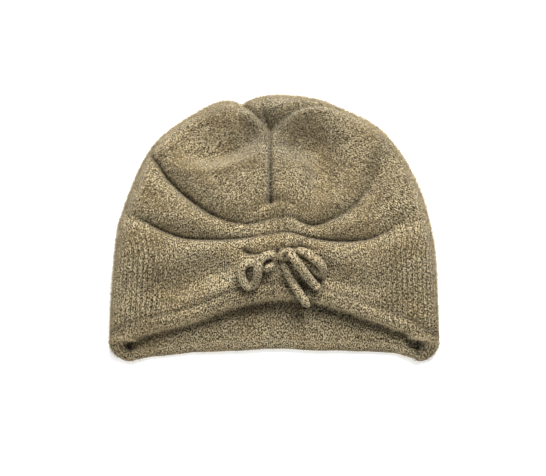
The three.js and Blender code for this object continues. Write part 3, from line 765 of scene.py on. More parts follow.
def cloth_coords(points, u):
    """Width and length along the cloth in millimetres: wales run up, then fan to the apex."""
    steps = np.linalg.norm(np.diff(points, axis=0), axis=-1)
    length = np.concatenate([np.zeros((1,) + steps.shape[1:]), np.cumsum(steps, axis=0)])
    length = length[-1:] - length
    kernel = np.hanning(2 * EVEN_ROWS + 1)
    kernel /= kernel.sum()
    pad = np.pad(length, ((0, 0), (EVEN_ROWS, EVEN_ROWS)), mode="edge")
    length = np.array([np.convolve(row, kernel, "valid") for row in pad])
    x, y = points[..., 0], points[..., 1]
    gap = nearest(EDGE_LINE, x, y)[0]
    over = OVER_EDGE * (1 - np.clip(gap / TURN_TOP[0], 0, 1)) ** 2
    wales = (np.broadcast_to(u, gap.shape) - 0.5) * 2 * HALF_WIDTH
    aside, down = x - APEX[0], APEX[1] - y
    swing = np.arctan2(np.abs(aside), down)
    knee = FAN["knee"]
    fan = np.where(swing < knee, np.tan(np.minimum(swing, knee)),
                   1 + FAN["spread"] * (swing - knee))
    far = np.hypot(aside, down)
    start = np.array([np.interp(0, ys[::-1], reach[::-1]) for ys, reach in
                      zip(y.T, (length + far).T)])
    width = fan * APEX[1] * FAN["width"] + over
    radial = np.stack([np.sign(aside) * width, start - far], -1)
    straight = np.stack([wales + np.sign(wales) * over, length], -1)
    return lerp(straight, radial, crown_turn(y)[..., None])


def crown_turn(y):
    """0 where the wales run straight up, 1 where they fan to the apex."""
    return smooth((y + CROWN_TURN) / (2 * CROWN_TURN))


def light_shade_and_speckle(x, y):
    """Painted light and shade of the cloth along the hem's groove, in the puckers, along the seams
    and in soft patches, and the patches' extra speckle.
    """
    depth, reach = GROOVE_SHADE
    # painted shade along the hem's groove, in the puckers' valleys and along the seams
    light_shade_tone = depth * hill(nearest(GROOVE_LINE, x, y)[0] / reach)
    light_shade_tone += PUCKER_SHADE * np.clip(-pucker(x, y), 0, 1) ** 2 + SEAM_SHADE * seams(x, y)
    speckle = np.zeros(np.shape(x))
    for cx, cy, rx, ry, patch_light, grain in LIGHT_SHADE_PATCHES:
        share = hill((x - cx) / rx) * hill((y - cy) / ry)
        # painted highlight where positive, painted shade where negative
        light_shade_tone += patch_light * share
        speckle += grain * share
    return light_shade_tone, speckle


def band(name, y):
    """1 in a named band of the cap, fading to 0 at its foot and its top."""
    foot, foot_fade, top, top_fade = BANDS[name]
    return smooth((y - foot) / foot_fade) * smooth((top - y) / top_fade)


def pucker(x, y):
    """Small ridges that stand across the two gathered bands."""
    middle = hill((x - PUCKER["middle"]) / PUCKER["reach"]) * band("gather", y)
    (tall, long), (wide, short) = PUCKER_SWAY
    sway = tall * np.sin(y / long) + wide * np.sin(x / short)
    return np.cos(2 * pi * (x - PUCKER["x"]) / PUCKER["pitch"] + sway) * middle


def seams(x, y):
    """The thin line of the front seam and of the short seam that closes the rolled hem."""
    front = hill((x - FRONT_SEAM["x"]) / FRONT_SEAM["reach"]) * band("front_seam", y)
    hem = hill((x - HEM_SEAM["x"]) / HEM_SEAM["reach"])
    return front + hem * smooth((HEM_SEAM["top"] - y) / HEM_SEAM["fade"])


def rib_share(x, y):
    """How clearly the ribs show: at the sides below the creases."""
    return smooth((np.abs(x) - RIB["inner"]) / RIB["fade"]) * band("ribs", y)


def knit_relief(x, y, coords):
    """Fine height changes of the knit: side ribs, puckers of the gather and soft lumps."""
    flat = np.stack([x, y, np.zeros_like(x)], -1).reshape(-1, 3)
    relief = lumps(flat, CAP_LUMPS).reshape(x.shape)
    ribs = np.cos(2 * pi * coords[..., 0] / RIB["pitch"])
    relief += ribs * RIB["height"] * rib_share(x, y)
    relief += pucker(x, y) * PUCKER["height"] - seams(x, y) * SEAM_DEPTH
    stitched = hill((x - PUCKER["x"]) / STITCHING["reach"]) * band("stitching", y)
    return relief - stitched * STITCHING["depth"]


def floor_relief(x, y):
    """Soft lumps of the inside's floor, and a low ridge behind the front hem."""
    flat = np.stack([x, y, np.zeros_like(x)], -1)
    hem = along(COURSES[-1][1], (x / HALF_WIDTH + 1) * 4 - 1)
    ridge = hill((y - hem + FLOOR_RIDGE["behind"]) / FLOOR_RIDGE["reach"])
    ridge *= FLOOR_RIDGE["height"] * smooth((FLOOR_RIDGE["end"] - np.abs(x))
                                            / FLOOR_RIDGE["fade"])
    return lumps(flat, FLOOR_LUMPS) + FLOOR_RIDGE["lift"] + ridge


def cap_rows(density):
    """Rows of the cap's grid, counted in courses; the first ones crowd at the crown."""
    v = [0.0]
    for i, count in enumerate(ROWS):
        count = max(LEAST_ROWS, round(count * density))
        v += [i + (j + 1) / count for j in range(count)]
    v = np.array(v)
    return np.where(v < 1, v ** ROW_CROWDING, v)


def rimmed(height, edge):
    """Heights whose first row and outer columns are the edge's."""
    height[0], height[:, 0], height[:, -1] = edge[0], edge[:, 0], edge[:, -1]
    return height


def outer_cap(store, u, v):
    """The cap's front, its turned edge and its flat back; returns the hem loop."""
    plan = front_plan(u, v)
    x, y = plan[..., 0], plan[..., 1]
    height = rimmed(front_height(x, y), edge_height(y))
    coords = cloth_coords(np.dstack([plan, height]), u)
    gap = nearest(EDGE_LINE, x, y)[0]
    height += knit_relief(x, y, coords) * np.clip(gap / RELIEF_EDGE, 0, 1)
    ids = store.put(np.dstack([plan, height]))
    light_shade_tone, speckle = light_shade_and_speckle(x, y)
    hem = smooth((v - LAST + HEM_START[0]) / HEM_START[1])[:, None]
    # painted shade in the creases
    store.share("CreaseShade", ids, crease_shade_share(x, y))
    store.share("LightShadeTone", ids, light_shade_tone + HEM_TONE * hem)
    store.share("Speckle", ids, speckle + hem)
    store.share("Ribs", ids, rib_share(x, y))
    store.share("Crown", ids, crown_turn(y))
    store.share("Fuzz", ids, lerp(FACE_FUZZ[0], 1, smooth(1 - gap / FACE_FUZZ[1])))
    return shell_face(store, ids, coords, TURN_UNDER, CORNER_DROP["outer"], 0,
                      lambda x: 0 * x, False, BACK_NET)


def inner_cap(store, u, density, spacing):
    """The room inside: its ceiling, turned edge and floor; returns the hem loop."""
    most, least = INNER_ROWS
    v = np.r_[np.linspace(0.5, LAST - 2, max(least, round(most * density))), LAST]
    plan = front_plan(inner_columns(u, v), v, 0)
    x, y = plan[..., 0], plan[..., 1]
    height = rimmed(ceiling_height(x, y), edge_height(y) - INNER_DROP)
    plan[-1, :, 1] += hem_shift(plan[-1, :, 0], ROLL["front"])
    ids = store.put(np.dstack([plan, height]))
    # painted shade on the inside's ceiling, to darken the slit under the hem
    store.share("LightShadeTone", ids, np.full(ids.shape, CEILING_SHADE))
    return shell_face(store, ids, plan, TURN_INSIDE, CORNER_DROP["inner"], WALL,
                      lambda x: hem_shift(x, ROLL["back"]), True, spacing, floor_relief)


def roll_hem(store, outer, inner, columns):
    """Joins the two hem loops by the rolled hem; the front's part of a loop comes first."""
    points = store.all_points()
    a, b = points[outer], points[inner]
    across = (a - b) * [1, 0, 1]
    wall = np.linalg.norm(across, axis=1)
    front = np.arange(len(outer)) <= columns
    corner = corner_share(a[:, 0])
    base = np.where(front, ROLL["front"], ROLL["back"])
    radius = np.maximum(lerp(base, ROLL["corner"], corner), wall / 2)
    out = across / wall[:, None]
    end = 2 * pi - np.arccos(np.clip(1 - wall / radius, -1, 1))
    tilt = CORNER_TILT * corner * smooth(a[:, 2] / EDGE[0])
    forward = np.stack([0 * tilt, -np.cos(tilt), np.sin(tilt)], -1)
    forward -= out * np.sum(forward * out, axis=1)[:, None]
    forward /= np.linalg.norm(forward, axis=1)[:, None]

    def arc(turn):
        return (a + out * (radius * (np.cos(turn) - 1))[:, None]
                + forward * (radius * np.sin(turn))[:, None])
    slip = b - arc(end)
    lip = [outer]
    for t in np.arange(1, LIP_RINGS) / LIP_RINGS:
        ring = arc(end * t) + slip * t
        ring += forward * (lumps(ring, LIP_LUMPS) * sin(pi * t))[:, None]
        lip.append(store.put(ring))
        # painted light and shade round the rolled hem
        light_shade_tone = lerp(lip_light_shade(t), LIP_LIGHT_SHADE["plain"], np.where(front, corner, 1))
        fuzzy = (ring[:, 2] > LIP_FUZZ["least_height"]) * (t < LIP_FUZZ["last"])
        store.share("Reverse", lip[-1], np.full(len(ring), LIP_UNDER_SHADE * t))
        store.share("Speckle", lip[-1], np.ones(len(ring)))
        store.share("LightShadeTone", lip[-1], light_shade_tone)
        store.share("Fuzz", lip[-1], LIP_FUZZ["share"] * fuzzy)
    lip = wrapped(np.array([*lip, inner]))
    along_hem = np.broadcast_to(points[lip[0], 0], lip.shape)
    around = np.linspace(0, LIP_ROUND, LIP_RINGS + 1)[:, None] + np.zeros(lip.shape)
    store.grid(lip, np.stack([along_hem, around], -1))


def lip_light_shade(t):
    """Painted light and shade round the front's rolled hem: a shaded start, a lit top and a shaded
    slit.
    """
    if t >= LIP_LIGHT_SHADE["from"]:
        return LIP_LIGHT_SHADE["under"]
    return lerp(LIP_LIGHT_SHADE["start"], LIP_LIGHT_SHADE["top"], smooth(t / LIP_LIGHT_SHADE["rise"]))


def build_cap(columns, density, spacing):
    """The whole cap as one closed mesh."""
    store = Sheet()
    u = crowd(columns, SIDE_CROWDING)
    outer = outer_cap(store, u, cap_rows(density))
    outer_count = store.count
    inner = inner_cap(store, u, density, spacing)
    # painted shade on every face of the inside
    shaded_inside = np.arange(outer_count, store.count)
    store.share("Reverse", shaded_inside, np.ones(len(shaded_inside)))
    roll_hem(store, outer, inner, columns)
    return store.to_mesh("knit_cap_mesh")


# ---------------------------------------------------------------- the bow's meshes
def on_knit(x, y, lift):
    """Centre of a cord that lies on the cap at a plan point, then lifted."""
    turns = np.arange(8) * pi / 4
    best = -np.inf
    for r in (0, CORD_R / 2, CORD_R):
        heights = front_height(x + r * np.cos(turns), y + r * np.sin(turns))
        best = max(best, float(heights.max()) - CORD_R + (CORD_R ** 2 - r ** 2) ** 0.5)
    return np.array([x, y, best + lift])


def cord_line(name):
    return by_length(spline([on_knit(*row) for row in CORDS[name]], 16), 400)


def cord_mesh(name, line, length, radius_at, frayed):
    """A knitted tube with rows of small stitches; frayed sets the extra fibres at its end."""
    share = np.linspace(0, 1, int(length / CORD_STEP) + 1)
    line = by_length(line)(share)
    ahead = np.gradient(line, axis=0)
    ahead /= np.linalg.norm(ahead, axis=1)[:, None]
    normal = np.cross(ahead[0], [0, 0, 1])
    turn = np.linspace(0, 2 * pi, CORD_SIDES + 1)[:-1]
    column = turn / (2 * pi) * CORD_WALES
    half = np.abs(column % 1 - 0.5)
    leg = np.clip(1 - np.abs(half - 0.25) * 4, 0, 1) ** CORD_STITCH["leg"]
    grid, coords = [], []
    for at, centre, direction in zip(share * length, line, ahead):
        normal = normal - direction * np.dot(normal, direction)
        normal /= np.linalg.norm(normal)
        other = np.cross(direction, normal)
        radius = radius_at(at, length)
        row = at / CORD_COURSE + half * CORD_STITCH["slant"]
        stitch = leg * (1 - (2 * (row % 1) - 1) ** 2) - CORD_STITCH["level"]
        spread = (radius + stitch * CORD_STITCH["height"] * min(1, radius / 2))[:, None]
        grid.append(centre + spread * (np.cos(turn)[:, None] * normal
                                       + np.sin(turn)[:, None] * other))
        coords.append(np.stack([column * CORD_WALE, np.full(CORD_SIDES, at)], -1))
    store = Sheet()
    ids = store.put(np.array(grid))
    coords = wrapped(np.array(coords))
    coords[:, -1, 0] += CORD_WALES * CORD_WALE
    fray = 1 + frayed * smooth(1 - (1 - share) * length / FRAYED["reach"])
    store.share("Fuzz", ids, fray[:, None] + np.zeros(ids.shape))
    store.grid(wrapped(ids), coords)
    store.close_ends(ids, (line[0], line[-1]), False)
    return store.to_mesh(name + "_mesh")


def dome(distance, reach):
    """Share of the full radius at a distance from a rounded end."""
    return float(bulge(max(distance, TIP) / reach))


def round_ends(at, length):
    """Radius along a cord that closes in a dome at both ends."""
    return max(CORD_R * dome(at, CORD_R) * dome(length - at, CORD_R), LEAST_RADIUS)


def frayed_end(at, length):
    """Radius of the cord's loose end, which thins out to a frayed tip."""
    left = length - at
    thin = lerp(0.5, 1, float(smooth(left / FRAYED["taper"])))
    return max(CORD_R * dome(at, CORD_R) * thin * dome(left, FRAYED["dome"]), LEAST_RADIUS)


def knot_mesh():
    """The knot: a rounded lump with two shallow wraps across it."""
    (x, y, lift), size = KNOT
    centre = on_knit(x, y, lift)
    rows, sides = KNOT_NET
    theta = np.linspace(0, pi, rows + 1)[1:-1, None]
    phi = np.linspace(0, 2 * pi, sides + 1)[:-1]
    sphere = np.stack([np.sin(theta) * np.cos(phi), np.sin(theta) * np.sin(phi),
                       np.cos(theta) + 0 * phi], -1)
    sx, sy, sz = np.moveaxis(sphere, -1, 0)
    (ax, ay), (wx, wy, wz) = KNOT_WRAP["along"], KNOT_STITCH["waves"]
    wrap = np.abs(np.sin(KNOT_WRAP["waves"] * (sx * ax + sy * ay) * pi / 2
                         + KNOT_WRAP["start"])) ** KNOT_WRAP["round"]
    wale = np.cos(sx * wx) * np.cos(sy * wy + sz * wz)
    swell = KNOT_WRAP["core"] + KNOT_WRAP["height"] * wrap + KNOT_STITCH["height"] * wale
    store = Sheet()
    ids = store.put(centre + sphere * (np.array(size) / 2) * swell[..., None])
    store.share("Fuzz", ids, np.ones(ids.shape))
    coords = np.stack(np.broadcast_arrays(phi * 4, theta * 4), -1)
    store.grid(wrapped(ids), wrapped(coords))
    pole = np.array([0, 0, size[2] / 2 * KNOT_POLE])
    store.close_ends(ids, (centre + pole, centre - pole), True)
    return store.to_mesh("bow_knot_mesh")


# ---------------------------------------------------------------- shader building
class Value:
    """A number socket of a node tree; arithmetic on it adds Math nodes."""

    def __init__(self, shader, socket):
        self.shader, self.socket = shader, socket

    def _math(self, operation, *inputs):
        node = self.shader.node("ShaderNodeMath", {"operation": operation}, dict(
            enumerate(inputs)))
        return Value(self.shader, node.outputs[0])

    def __add__(self, other):
        return self._math("ADD", self, other)

    def __radd__(self, other):
        return self._math("ADD", other, self)

    def __sub__(self, other):
        return self._math("SUBTRACT", self, other)

    def __rsub__(self, other):
        return self._math("SUBTRACT", other, self)

    def __mul__(self, other):
        return self._math("MULTIPLY", self, other)

    def __rmul__(self, other):
        return self._math("MULTIPLY", other, self)

    def __truediv__(self, other):
        return self._math("DIVIDE", self, other)

    def __pow__(self, other):
        return self._math("POWER", self, other)

    def __abs__(self):
        return self._math("ABSOLUTE", self)

    def fract(self):
        return self._math("FRACT", self)

    def limit(self):
        return self._math("MINIMUM", self._math("MAXIMUM", self, 0.0), 1.0)


class Shader:
    """Node tree of one material."""

    def __init__(self, name):
        self.material = bpy.data.materials.new(name)
        self.material.use_nodes = True
        self.tree = self.material.node_tree
        self.tree.nodes.clear()

    def node(self, kind, settings=None, inputs=None):
        node = self.tree.nodes.new(kind)
        for key, value in (settings or {}).items():
            if key == "stops":
                ramp = node.color_ramp
                while len(ramp.elements) > 1:
                    ramp.elements.remove(ramp.elements[-1])
                for i, (place, color) in enumerate(value):
                    stop = ramp.elements[0] if i == 0 else ramp.elements.new(place)
                    stop.position, stop.color = place, (*color, 1)
            else:
                setattr(node, key, value)
        for key, value in (inputs or {}).items():
            socket = node.inputs[key]
            if isinstance(value, Value):
                value = value.socket
            if isinstance(value, bpy.types.NodeSocket):
                self.tree.links.new(value, socket)
            else:
                socket.default_value = value
        return node

    def number(self, kind, output, settings=None, inputs=None):
        return Value(self, self.node(kind, settings, inputs).outputs[output])

    def noise(self, vector, scale, detail=2.0, rough=0.5):
        return self.number("ShaderNodeTexNoise", "Fac", None, {
            "Vector": vector, "Scale": scale, "Detail": detail, "Roughness": rough})

    def vector(self, operation, first, second):
        node = self.node("ShaderNodeVectorMath", {"operation": operation}, {
            0: first, "Scale" if operation == "SCALE" else 1: second})
        return node.outputs[0]

    def ramp(self, factor, stops):
        return self.node("ShaderNodeValToRGB", {"stops": stops}, {"Fac": factor}).outputs[0]

    def mix(self, factor, a, b, mode="MIX"):
        node = self.node("ShaderNodeMix", {"data_type": "RGBA", "blend_type": mode}, {
            0: factor, 6: a, 7: b})
        return node.outputs[2]

    def finish(self, color, normal, constants):
        bsdf = self.node("ShaderNodeBsdfPrincipled", None, {"Base Color": color, **constants})
        if normal is not None:
            self.tree.links.new(normal, bsdf.inputs["Normal"])
        output = self.node("ShaderNodeOutputMaterial")
        self.tree.links.new(bsdf.outputs[0], output.inputs[0])
        return self.material


def yarn_material(name, look, wale, row, shade, contrast):
    """Brushed melange knit: V stitches that follow the cloth, flecks of light and dark yarn."""
    s = Shader(name)
    place = s.node("ShaderNodeTexCoord").outputs["Object"]
    cloth = s.node("ShaderNodeUVMap", {"uv_map": "Cloth"}).outputs[0]
    scale, size = DRIFT
    drift = s.node("ShaderNodeTexNoise", None, {"Vector": place, "Scale": scale, "Detail": 2.0})
    drift = s.vector("SUBTRACT", drift.outputs["Color"], (0.5, 0.5, 0.5))
    moved = s.vector("ADD", cloth, s.vector("SCALE", drift, size))
    parts = s.node("ShaderNodeSeparateXYZ", None, {0: moved})
    across, along_cloth = Value(s, parts.outputs[0]), Value(s, parts.outputs[1])
    share = {key: s.number("ShaderNodeAttribute", "Fac", {"attribute_name": key})
             for key in SHARES}
    grain = {key: s.noise(place, *values) for key, values in NOISES.items()}

    half = abs((across / wale).fract() - 0.5)
    leg = (1 - abs(half - 0.25) * 4).limit() ** STITCH["leg"]
    rise = (along_cloth / row + half * STITCH["slant"]).fract() * 2 - 1
    stitch = leg * (1 - rise * rise)

    fleck = s.noise(s.vector("MULTIPLY", moved, STRANDS), *STRAND_NOISE)
    fleck = fleck + (grain["speck"] - fleck) * share["Crown"] * FLECKS["crown_specks"]
    mixed = fleck * FLECKS["strand"] + grain["fine"] * FLECKS["fine"]
    mixed = mixed + stitch * FLECKS["stitch"] - 0.5
    mixed = mixed * (share["Speckle"] * CONTRAST["speckle"] + share["Crown"] * CONTRAST["crown"]
                     + (grain["worn"] - 0.5) * CONTRAST["worn"] + contrast)
    mixed = mixed + 0.5 + (grain["patch"] - 0.5) * FLECKS["patch"]
    color = s.ramp(mixed, list(zip(YARN_STOPS, (tuple(yarn) for yarn in look))))
    # painted shade in the gaps between stitches, broken up by the clump noise
    greys = ((shade,) * 3, (1, 1, 1))
    gaps = s.ramp(stitch * GAPS["stitch"] + grain["clump"] * GAPS["clump"],
                  list(zip(GAP_STOPS, greys)))
    color = s.mix(1.0, color, gaps, "MULTIPLY")
    color = s.mix(1.0, color, s.ramp(grain["worn"], TINTS), "MULTIPLY")

    # painted shade in the grooves between the side ribs
    line = abs((across / RIB["pitch"]).fract() - 0.5) * 2
    # the painted light and shade share brightens and darkens the colour
    level = (1 + share["LightShadeTone"]) * (1 - share["Ribs"] * line ** 3 * RIB_SHADE)
    color = s.vector("SCALE", color, level)
    # painted shade at the bottom of deep creases
    color = s.mix(share["CreaseShade"] * CREASE_SHADE[0], color, CREASE_SHADE[1])
    # painted shade on the inside faces and the hem's underside
    color = s.mix(share["Reverse"] * INSIDE_SHADE[0], color, INSIDE_SHADE[1])
    height = (stitch * HEIGHTS["stitch"] + grain["fluff"] * HEIGHTS["fluff"]
              + grain["clump"] * HEIGHTS["clump"])
    bump = s.node("ShaderNodeBump", None, {**BUMP, "Height": height})
    return s.finish(color, bump.outputs[0], KNIT_FINISH)


def fuzz_nodes():
    """Node group: short fibres stand on a mesh, thickest where the Fuzz share is high."""
    group = bpy.data.node_groups.new("fuzz", "GeometryNodeTree")
    face = group.interface
    face.new_socket("Cloth", in_out="INPUT", socket_type="NodeSocketGeometry")
    for name, kind, default in (
            ("Fibres per square metre", "NodeSocketFloat", 1e6),
            ("Fibre length", "NodeSocketFloat", 0.003),
            ("Fibre radius", "NodeSocketFloat", 0.0001),
            ("Mess", "NodeSocketFloat", 0.8),
            ("Seed", "NodeSocketInt", 7)):
        face.new_socket(name, in_out="INPUT", socket_type=kind).default_value = default
    face.new_socket("Fibre material", in_out="INPUT", socket_type="NodeSocketMaterial")
    face.new_socket("Fibres", in_out="OUTPUT", socket_type="NodeSocketGeometry")

    def add(kind, settings=None, inputs=None):
        node = group.nodes.new(kind)
        for key, value in (settings or {}).items():
            setattr(node, key, value)
        for key, value in (inputs or {}).items():
            if isinstance(value, bpy.types.NodeSocket):
                group.links.new(value, node.inputs[key])
            else:
                node.inputs[key].default_value = value
        return node
    given = add("NodeGroupInput").outputs
    share = add("GeometryNodeInputNamedAttribute", {"data_type": "FLOAT"}, {"Name": "Fuzz"})
    density = add("ShaderNodeMath", {"operation": "MULTIPLY"}, {
        0: share.outputs[0], 1: given["Fibres per square metre"]})
    spots = add("GeometryNodeDistributePointsOnFaces", {"distribute_method": "RANDOM"}, {
        "Mesh": given["Cloth"], "Density": density.outputs[0], "Seed": given["Seed"]})
    mess = add("FunctionNodeRandomValue", {"data_type": "FLOAT_VECTOR"}, {
        0: FIBRE_LEAN[0], 1: FIBRE_LEAN[1], "Seed": given["Seed"]})
    bent = add("ShaderNodeVectorMath", {"operation": "SCALE"}, {
        0: mess.outputs[0], "Scale": given["Mess"]})
    aim = add("ShaderNodeVectorMath", {"operation": "ADD"}, {
        0: spots.outputs["Normal"], 1: bent.outputs[0]})
    turn = add("FunctionNodeAlignRotationToVector", {"axis": "Z"}, {"Vector": aim.outputs[0]})
    size = add("FunctionNodeRandomValue", {"data_type": "FLOAT"}, {
        2: FIBRE_SIZES[0], 3: FIBRE_SIZES[1], "Seed": given["Seed"]})
    fibre = add("GeometryNodeMeshCone", {"fill_type": "NGON"}, {
        "Vertices": 3, "Side Segments": 1, "Fill Segments": 1, "Radius Top": 0.0,
        "Radius Bottom": given["Fibre radius"], "Depth": given["Fibre length"]})
    stand = add("GeometryNodeInstanceOnPoints", None, {
        "Points": spots.outputs["Points"], "Instance": fibre.outputs["Mesh"],
        "Rotation": turn.outputs[0], "Scale": size.outputs[1]})
    real = add("GeometryNodeRealizeInstances", None, {"Geometry": stand.outputs[0]})
    dress = add("GeometryNodeSetMaterial", None, {
        "Geometry": real.outputs[0], "Material": given["Fibre material"]})
    result = add("NodeGroupOutput")
    group.links.new(dress.outputs[0], result.inputs[0])
    return group


def grow_fuzz(name, meshes, material, values):
    """Grows fibres on meshes and bakes them into one piece."""
    source = bpy.data.meshes.new(name + "_source")
    points, faces, shares = [], [], []
    for mesh in meshes:
        start = len(points)
        points += [vertex.co[:] for vertex in mesh.vertices]
        faces += [[start + i for i in face.vertices] for face in mesh.polygons]
        shares += [item.value for item in mesh.attributes["Fuzz"].data]
    source.from_pydata(points, [], faces)
    source.attributes.new("Fuzz", "FLOAT", "POINT").data.foreach_set("value", shares)
    piece = bpy.data.objects.new(name, source)
    bpy.context.scene.collection.objects.link(piece)
    modifier = piece.modifiers.new("Fuzz", "NODES")
    modifier.node_group = bpy.data.node_groups.get("fuzz") or fuzz_nodes()
    values = {**values, "Fibre material": material}
    for socket in modifier.node_group.interface.items_tree:
        if socket.name in values:
            modifier[socket.identifier] = values[socket.name]
    graph = bpy.context.evaluated_depsgraph_get()
    baked = bpy.data.meshes.new_from_object(piece.evaluated_get(graph))
    piece.modifiers.remove(modifier)
    piece.data = baked
    bpy.data.meshes.remove(source)
    baked.name = name + "_mesh"
    if not baked.polygons:
        raise RuntimeError(name + " has no fibres")
    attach(piece, "root")
    return piece


# ---------------------------------------------------------------- settings
class BeanieSettings(bpy.types.PropertyGroup):
    columns: IntProperty(name="Columns", description="Mesh columns across the front",
                         default=280, min=60, max=340)
    rows_scale: FloatProperty(name="Row density", description="Mesh rows, as a factor",
                              default=1.0, min=0.3, max=1.3)
    floor_net: FloatProperty(name="Inner net", description="Net size of the inner back, mm",
                             default=2.2, min=1.0, max=12.0)
    wale: FloatProperty(name="Wale", description="Width of one stitch, mm", default=3.2,
                        min=1.0, max=8.0)
    row: FloatProperty(name="Course", description="Height of one stitch, mm", default=2.7,
                       min=1.0, max=8.0)
    dark_yarn: FloatVectorProperty(name="Dark yarn", description="Darkest fleck", size=3,
                                   subtype="COLOR", default=(0.02, 0.016, 0.01))
    mid_yarn: FloatVectorProperty(name="Ground yarn", description="Ground colour", size=3,
                                  subtype="COLOR", default=(0.133, 0.106, 0.06))
    light_yarn: FloatVectorProperty(name="Light yarn", description="Light fleck", size=3,
                                    subtype="COLOR", default=(0.252, 0.206, 0.123))
    pale_yarn: FloatVectorProperty(name="Pale yarn", description="Palest fleck", size=3,
                                   subtype="COLOR", default=(0.52, 0.44, 0.29))
    fibres: FloatProperty(name="Fibres", description="Fibres per square metre at the edges",
                          default=1.6e6, min=0.0, max=1e7)
    fibre_length: FloatProperty(name="Fibre length", description="Length of a loose fibre",
                                default=0.0028, min=0.0, max=0.01, unit="LENGTH")
    fibre_radius: FloatProperty(name="Fibre radius", description="Radius at a fibre's root",
                                default=0.00011, min=0.0, max=0.001, unit="LENGTH")
    light_power: FloatProperty(name="Key light", description="Power of the soft key light",
                               default=59.0, min=0.0, max=300.0, unit="POWER")
    sky: FloatProperty(name="Sky", description="Strength of the even studio light",
                       default=0.215, min=0.0, max=3.0)
    floor_glow: FloatProperty(name="Floor glow", description="Light of the lit floor panel",
                              default=0.35, min=0.0, max=2.0)


def yarns(settings):
    return (settings.dark_yarn, settings.mid_yarn, settings.light_yarn, settings.pale_yarn)


class BEANIE_OT_cap(bpy.types.Operator):
    """Build the knitted cap"""
    bl_idname = "beanie.cap"
    bl_label = "Knitted cap"

    def execute(self, context):
        settings = context.scene.beanie
        mesh = build_cap(settings.columns, settings.rows_scale, settings.floor_net)
        material = yarn_material("brushed_knit", yarns(settings), settings.wale, settings.row,
                                 **YARN_LOOK["cap"])
        add_piece(mesh, "knit_cap", material)
        return {"FINISHED"}


class BEANIE_OT_bow(bpy.types.Operator):
    """Build the drawstring bow: knot, loops and loose ends"""
    bl_idname = "beanie.bow"
    bl_label = "Drawstring bow"

    def execute(self, context):
        settings = context.scene.beanie
        material = yarn_material("cord_knit", yarns(settings), CORD_WALE, CORD_COURSE,
                                 **YARN_LOOK["cord"])
        add_piece(knot_mesh(), "bow_knot", material)
        ends = {
            "left_loop": ("object", round_ends, 0.0),
            "right_loop": ("object", round_ends, 0.0),
            "over_tail": ("bare", round_ends, 0.0),
            "under_tail": ("bare", frayed_end, FRAYED["fibres"]),
        }
        for name, (far_end, radius_at, frayed) in ends.items():
            line = cord_line(name)
            length = np.linalg.norm(np.diff(line, axis=0), axis=1).sum()
            mesh = cord_mesh(name, line, length, radius_at, frayed)
            piece = add_piece(mesh, name, material)
            path = [tuple((p + SHIFT) * MM) for p in (*line[::8], line[-1])]
            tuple(path[0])
        return {"FINISHED"}


class BEANIE_OT_fuzz(bpy.types.Operator):
    """Grow the short fibres that stand off the cap and the bow"""
    bl_idname = "beanie.fuzz"
    bl_label = "Fuzz"

    def execute(self, context):
        settings = context.scene.beanie
        cap = bpy.data.objects.get("knit_cap_dressed")
        cords = [bpy.data.objects.get(name + "_dressed") for name in ("bow_knot", *CORDS)]
        if cap is None or None in cords:
            raise RuntimeError("build the cap and the bow before the fuzz")
        s = Shader("loose_fibres")
        place = s.node("ShaderNodeTexCoord").outputs["Object"]
        scale, first, second = FIBRE_TONES
        color = s.ramp(s.noise(place, scale, 1.0), [
            (first, tuple(settings.light_yarn)), (second, tuple(settings.pale_yarn))])
        material = s.finish(color, None, FIBRE_FINISH)
        values = {"Fibre length": settings.fibre_length, "Fibre radius": settings.fibre_radius,
                  "Fibres per square metre": settings.fibres, "Seed": FUZZ_SEEDS["cap"]}
        grow_fuzz("cap_fuzz", [cap.data], material, values)
        values["Fibre length"] *= BOW_FIBRES["length"]
        values["Fibres per square metre"] *= BOW_FIBRES["share"]
        values["Seed"] = FUZZ_SEEDS["bow"]
        grow_fuzz("bow_fuzz", [cord.data for cord in cords], material, values)
        return {"FINISHED"}


def lay_floor(scene, glow):
    s = Shader("pale_floor")
    place = s.node("ShaderNodeTexCoord").outputs["Object"]
    scale, *stops = FLOOR_TONES
    color = s.ramp(s.noise(place, scale), [(at, (grey,) * 3) for at, grey in stops])
    mesh = bpy.data.meshes.new("floor_mesh")
    sides = ((-1, -1), (1, -1), (1, 1), (-1, 1))
    mesh.from_pydata([(x * FLOOR_HALF, y * FLOOR_HALF, 0) for x, y in sides], [], [(0, 1, 2, 3)])
    mesh.materials.append(s.finish(color, None, {**FLOOR_FINISH, "Emission Strength": glow}))
    floor = bpy.data.objects.new("studio_floor", mesh)
    scene.collection.objects.link(floor)


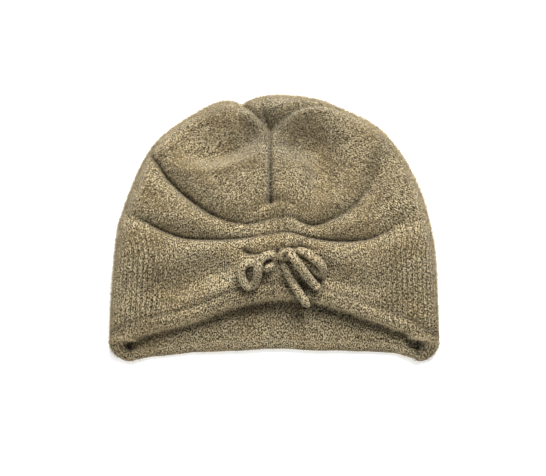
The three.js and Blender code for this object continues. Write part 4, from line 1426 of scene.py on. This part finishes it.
def light_studio(scene, power, sky):
    world = bpy.data.worlds.new("studio_air")
    world.use_nodes = True
    background = world.node_tree.nodes["Background"]
    background.inputs[0].default_value = (1.0, 1.0, 1.0, 1)
    background.inputs[1].default_value = sky
    scene.world = world
    for name, (place, size, share) in LIGHTS.items():
        data = bpy.data.lights.new(name, "AREA")
        data.shape, data.size, data.energy = "DISK", size, power * share
        light = bpy.data.objects.new(name, data)
        light.location = place
        aim = Vector((0, 0, AIM_HEIGHT)) - light.location
        light.rotation_euler = aim.to_track_quat("-Z", "Y").to_euler()
        scene.collection.objects.link(light)


def set_camera(scene):
    elevation, distance = radians(CAMERA["elevation"]), CAMERA["distance"]
    target = Vector([*((np.array(CAMERA["aim"]) + SHIFT[:2]) * MM), AIM_HEIGHT])
    data = bpy.data.cameras.new("camera")
    data.sensor_width = CAMERA["sensor"]
    data.lens = CAMERA["sensor"] * distance / CAMERA["view_width"]
    camera = bpy.data.objects.new("camera", data)
    camera.location = target + distance * Vector((0, -cos(elevation), sin(elevation)))
    camera.rotation_euler = (pi / 2 - elevation, 0, 0)
    scene.collection.objects.link(camera)
    scene.camera = camera
    for key, value in VIEW.items():
        setattr(scene.view_settings, key, value)


class BEANIE_OT_stage(bpy.types.Operator):
    """Build the pale floor, the soft lights and the camera"""
    bl_idname = "beanie.stage"
    bl_label = "Studio"

    def execute(self, context):
        settings = context.scene.beanie
        lay_floor(context.scene, settings.floor_glow)
        light_studio(context.scene, settings.light_power, settings.sky)
        set_camera(context.scene)
        return {"FINISHED"}


class BEANIE_PT_panel(bpy.types.Panel):
    bl_idname = "BEANIE_PT_panel"
    bl_label = "Beanie"
    bl_space_type = "VIEW_3D"
    bl_region_type = "UI"
    bl_category = "Beanie"

    def draw(self, context):
        settings = context.scene.beanie
        for name in settings.__annotations__:
            self.layout.prop(settings, name)
        for operator in (BEANIE_OT_stage, BEANIE_OT_bow, BEANIE_OT_cap, BEANIE_OT_fuzz):
            self.layout.operator(operator.bl_idname)


CLASSES = (BeanieSettings, BEANIE_OT_stage, BEANIE_OT_bow, BEANIE_OT_cap, BEANIE_OT_fuzz,
           BEANIE_PT_panel)


def register():
    for item in CLASSES:
        bpy.utils.register_class(item)
    bpy.types.Scene.beanie = PointerProperty(type=BeanieSettings)


def unregister():
    del bpy.types.Scene.beanie
    for item in reversed(CLASSES):
        bpy.utils.unregister_class(item)


def main():
    register()
    bpy.ops.beanie.stage()
    bpy.ops.beanie.bow()
    bpy.ops.beanie.cap()
    bpy.ops.beanie.fuzz()


if __name__ == "__main__":
    main()
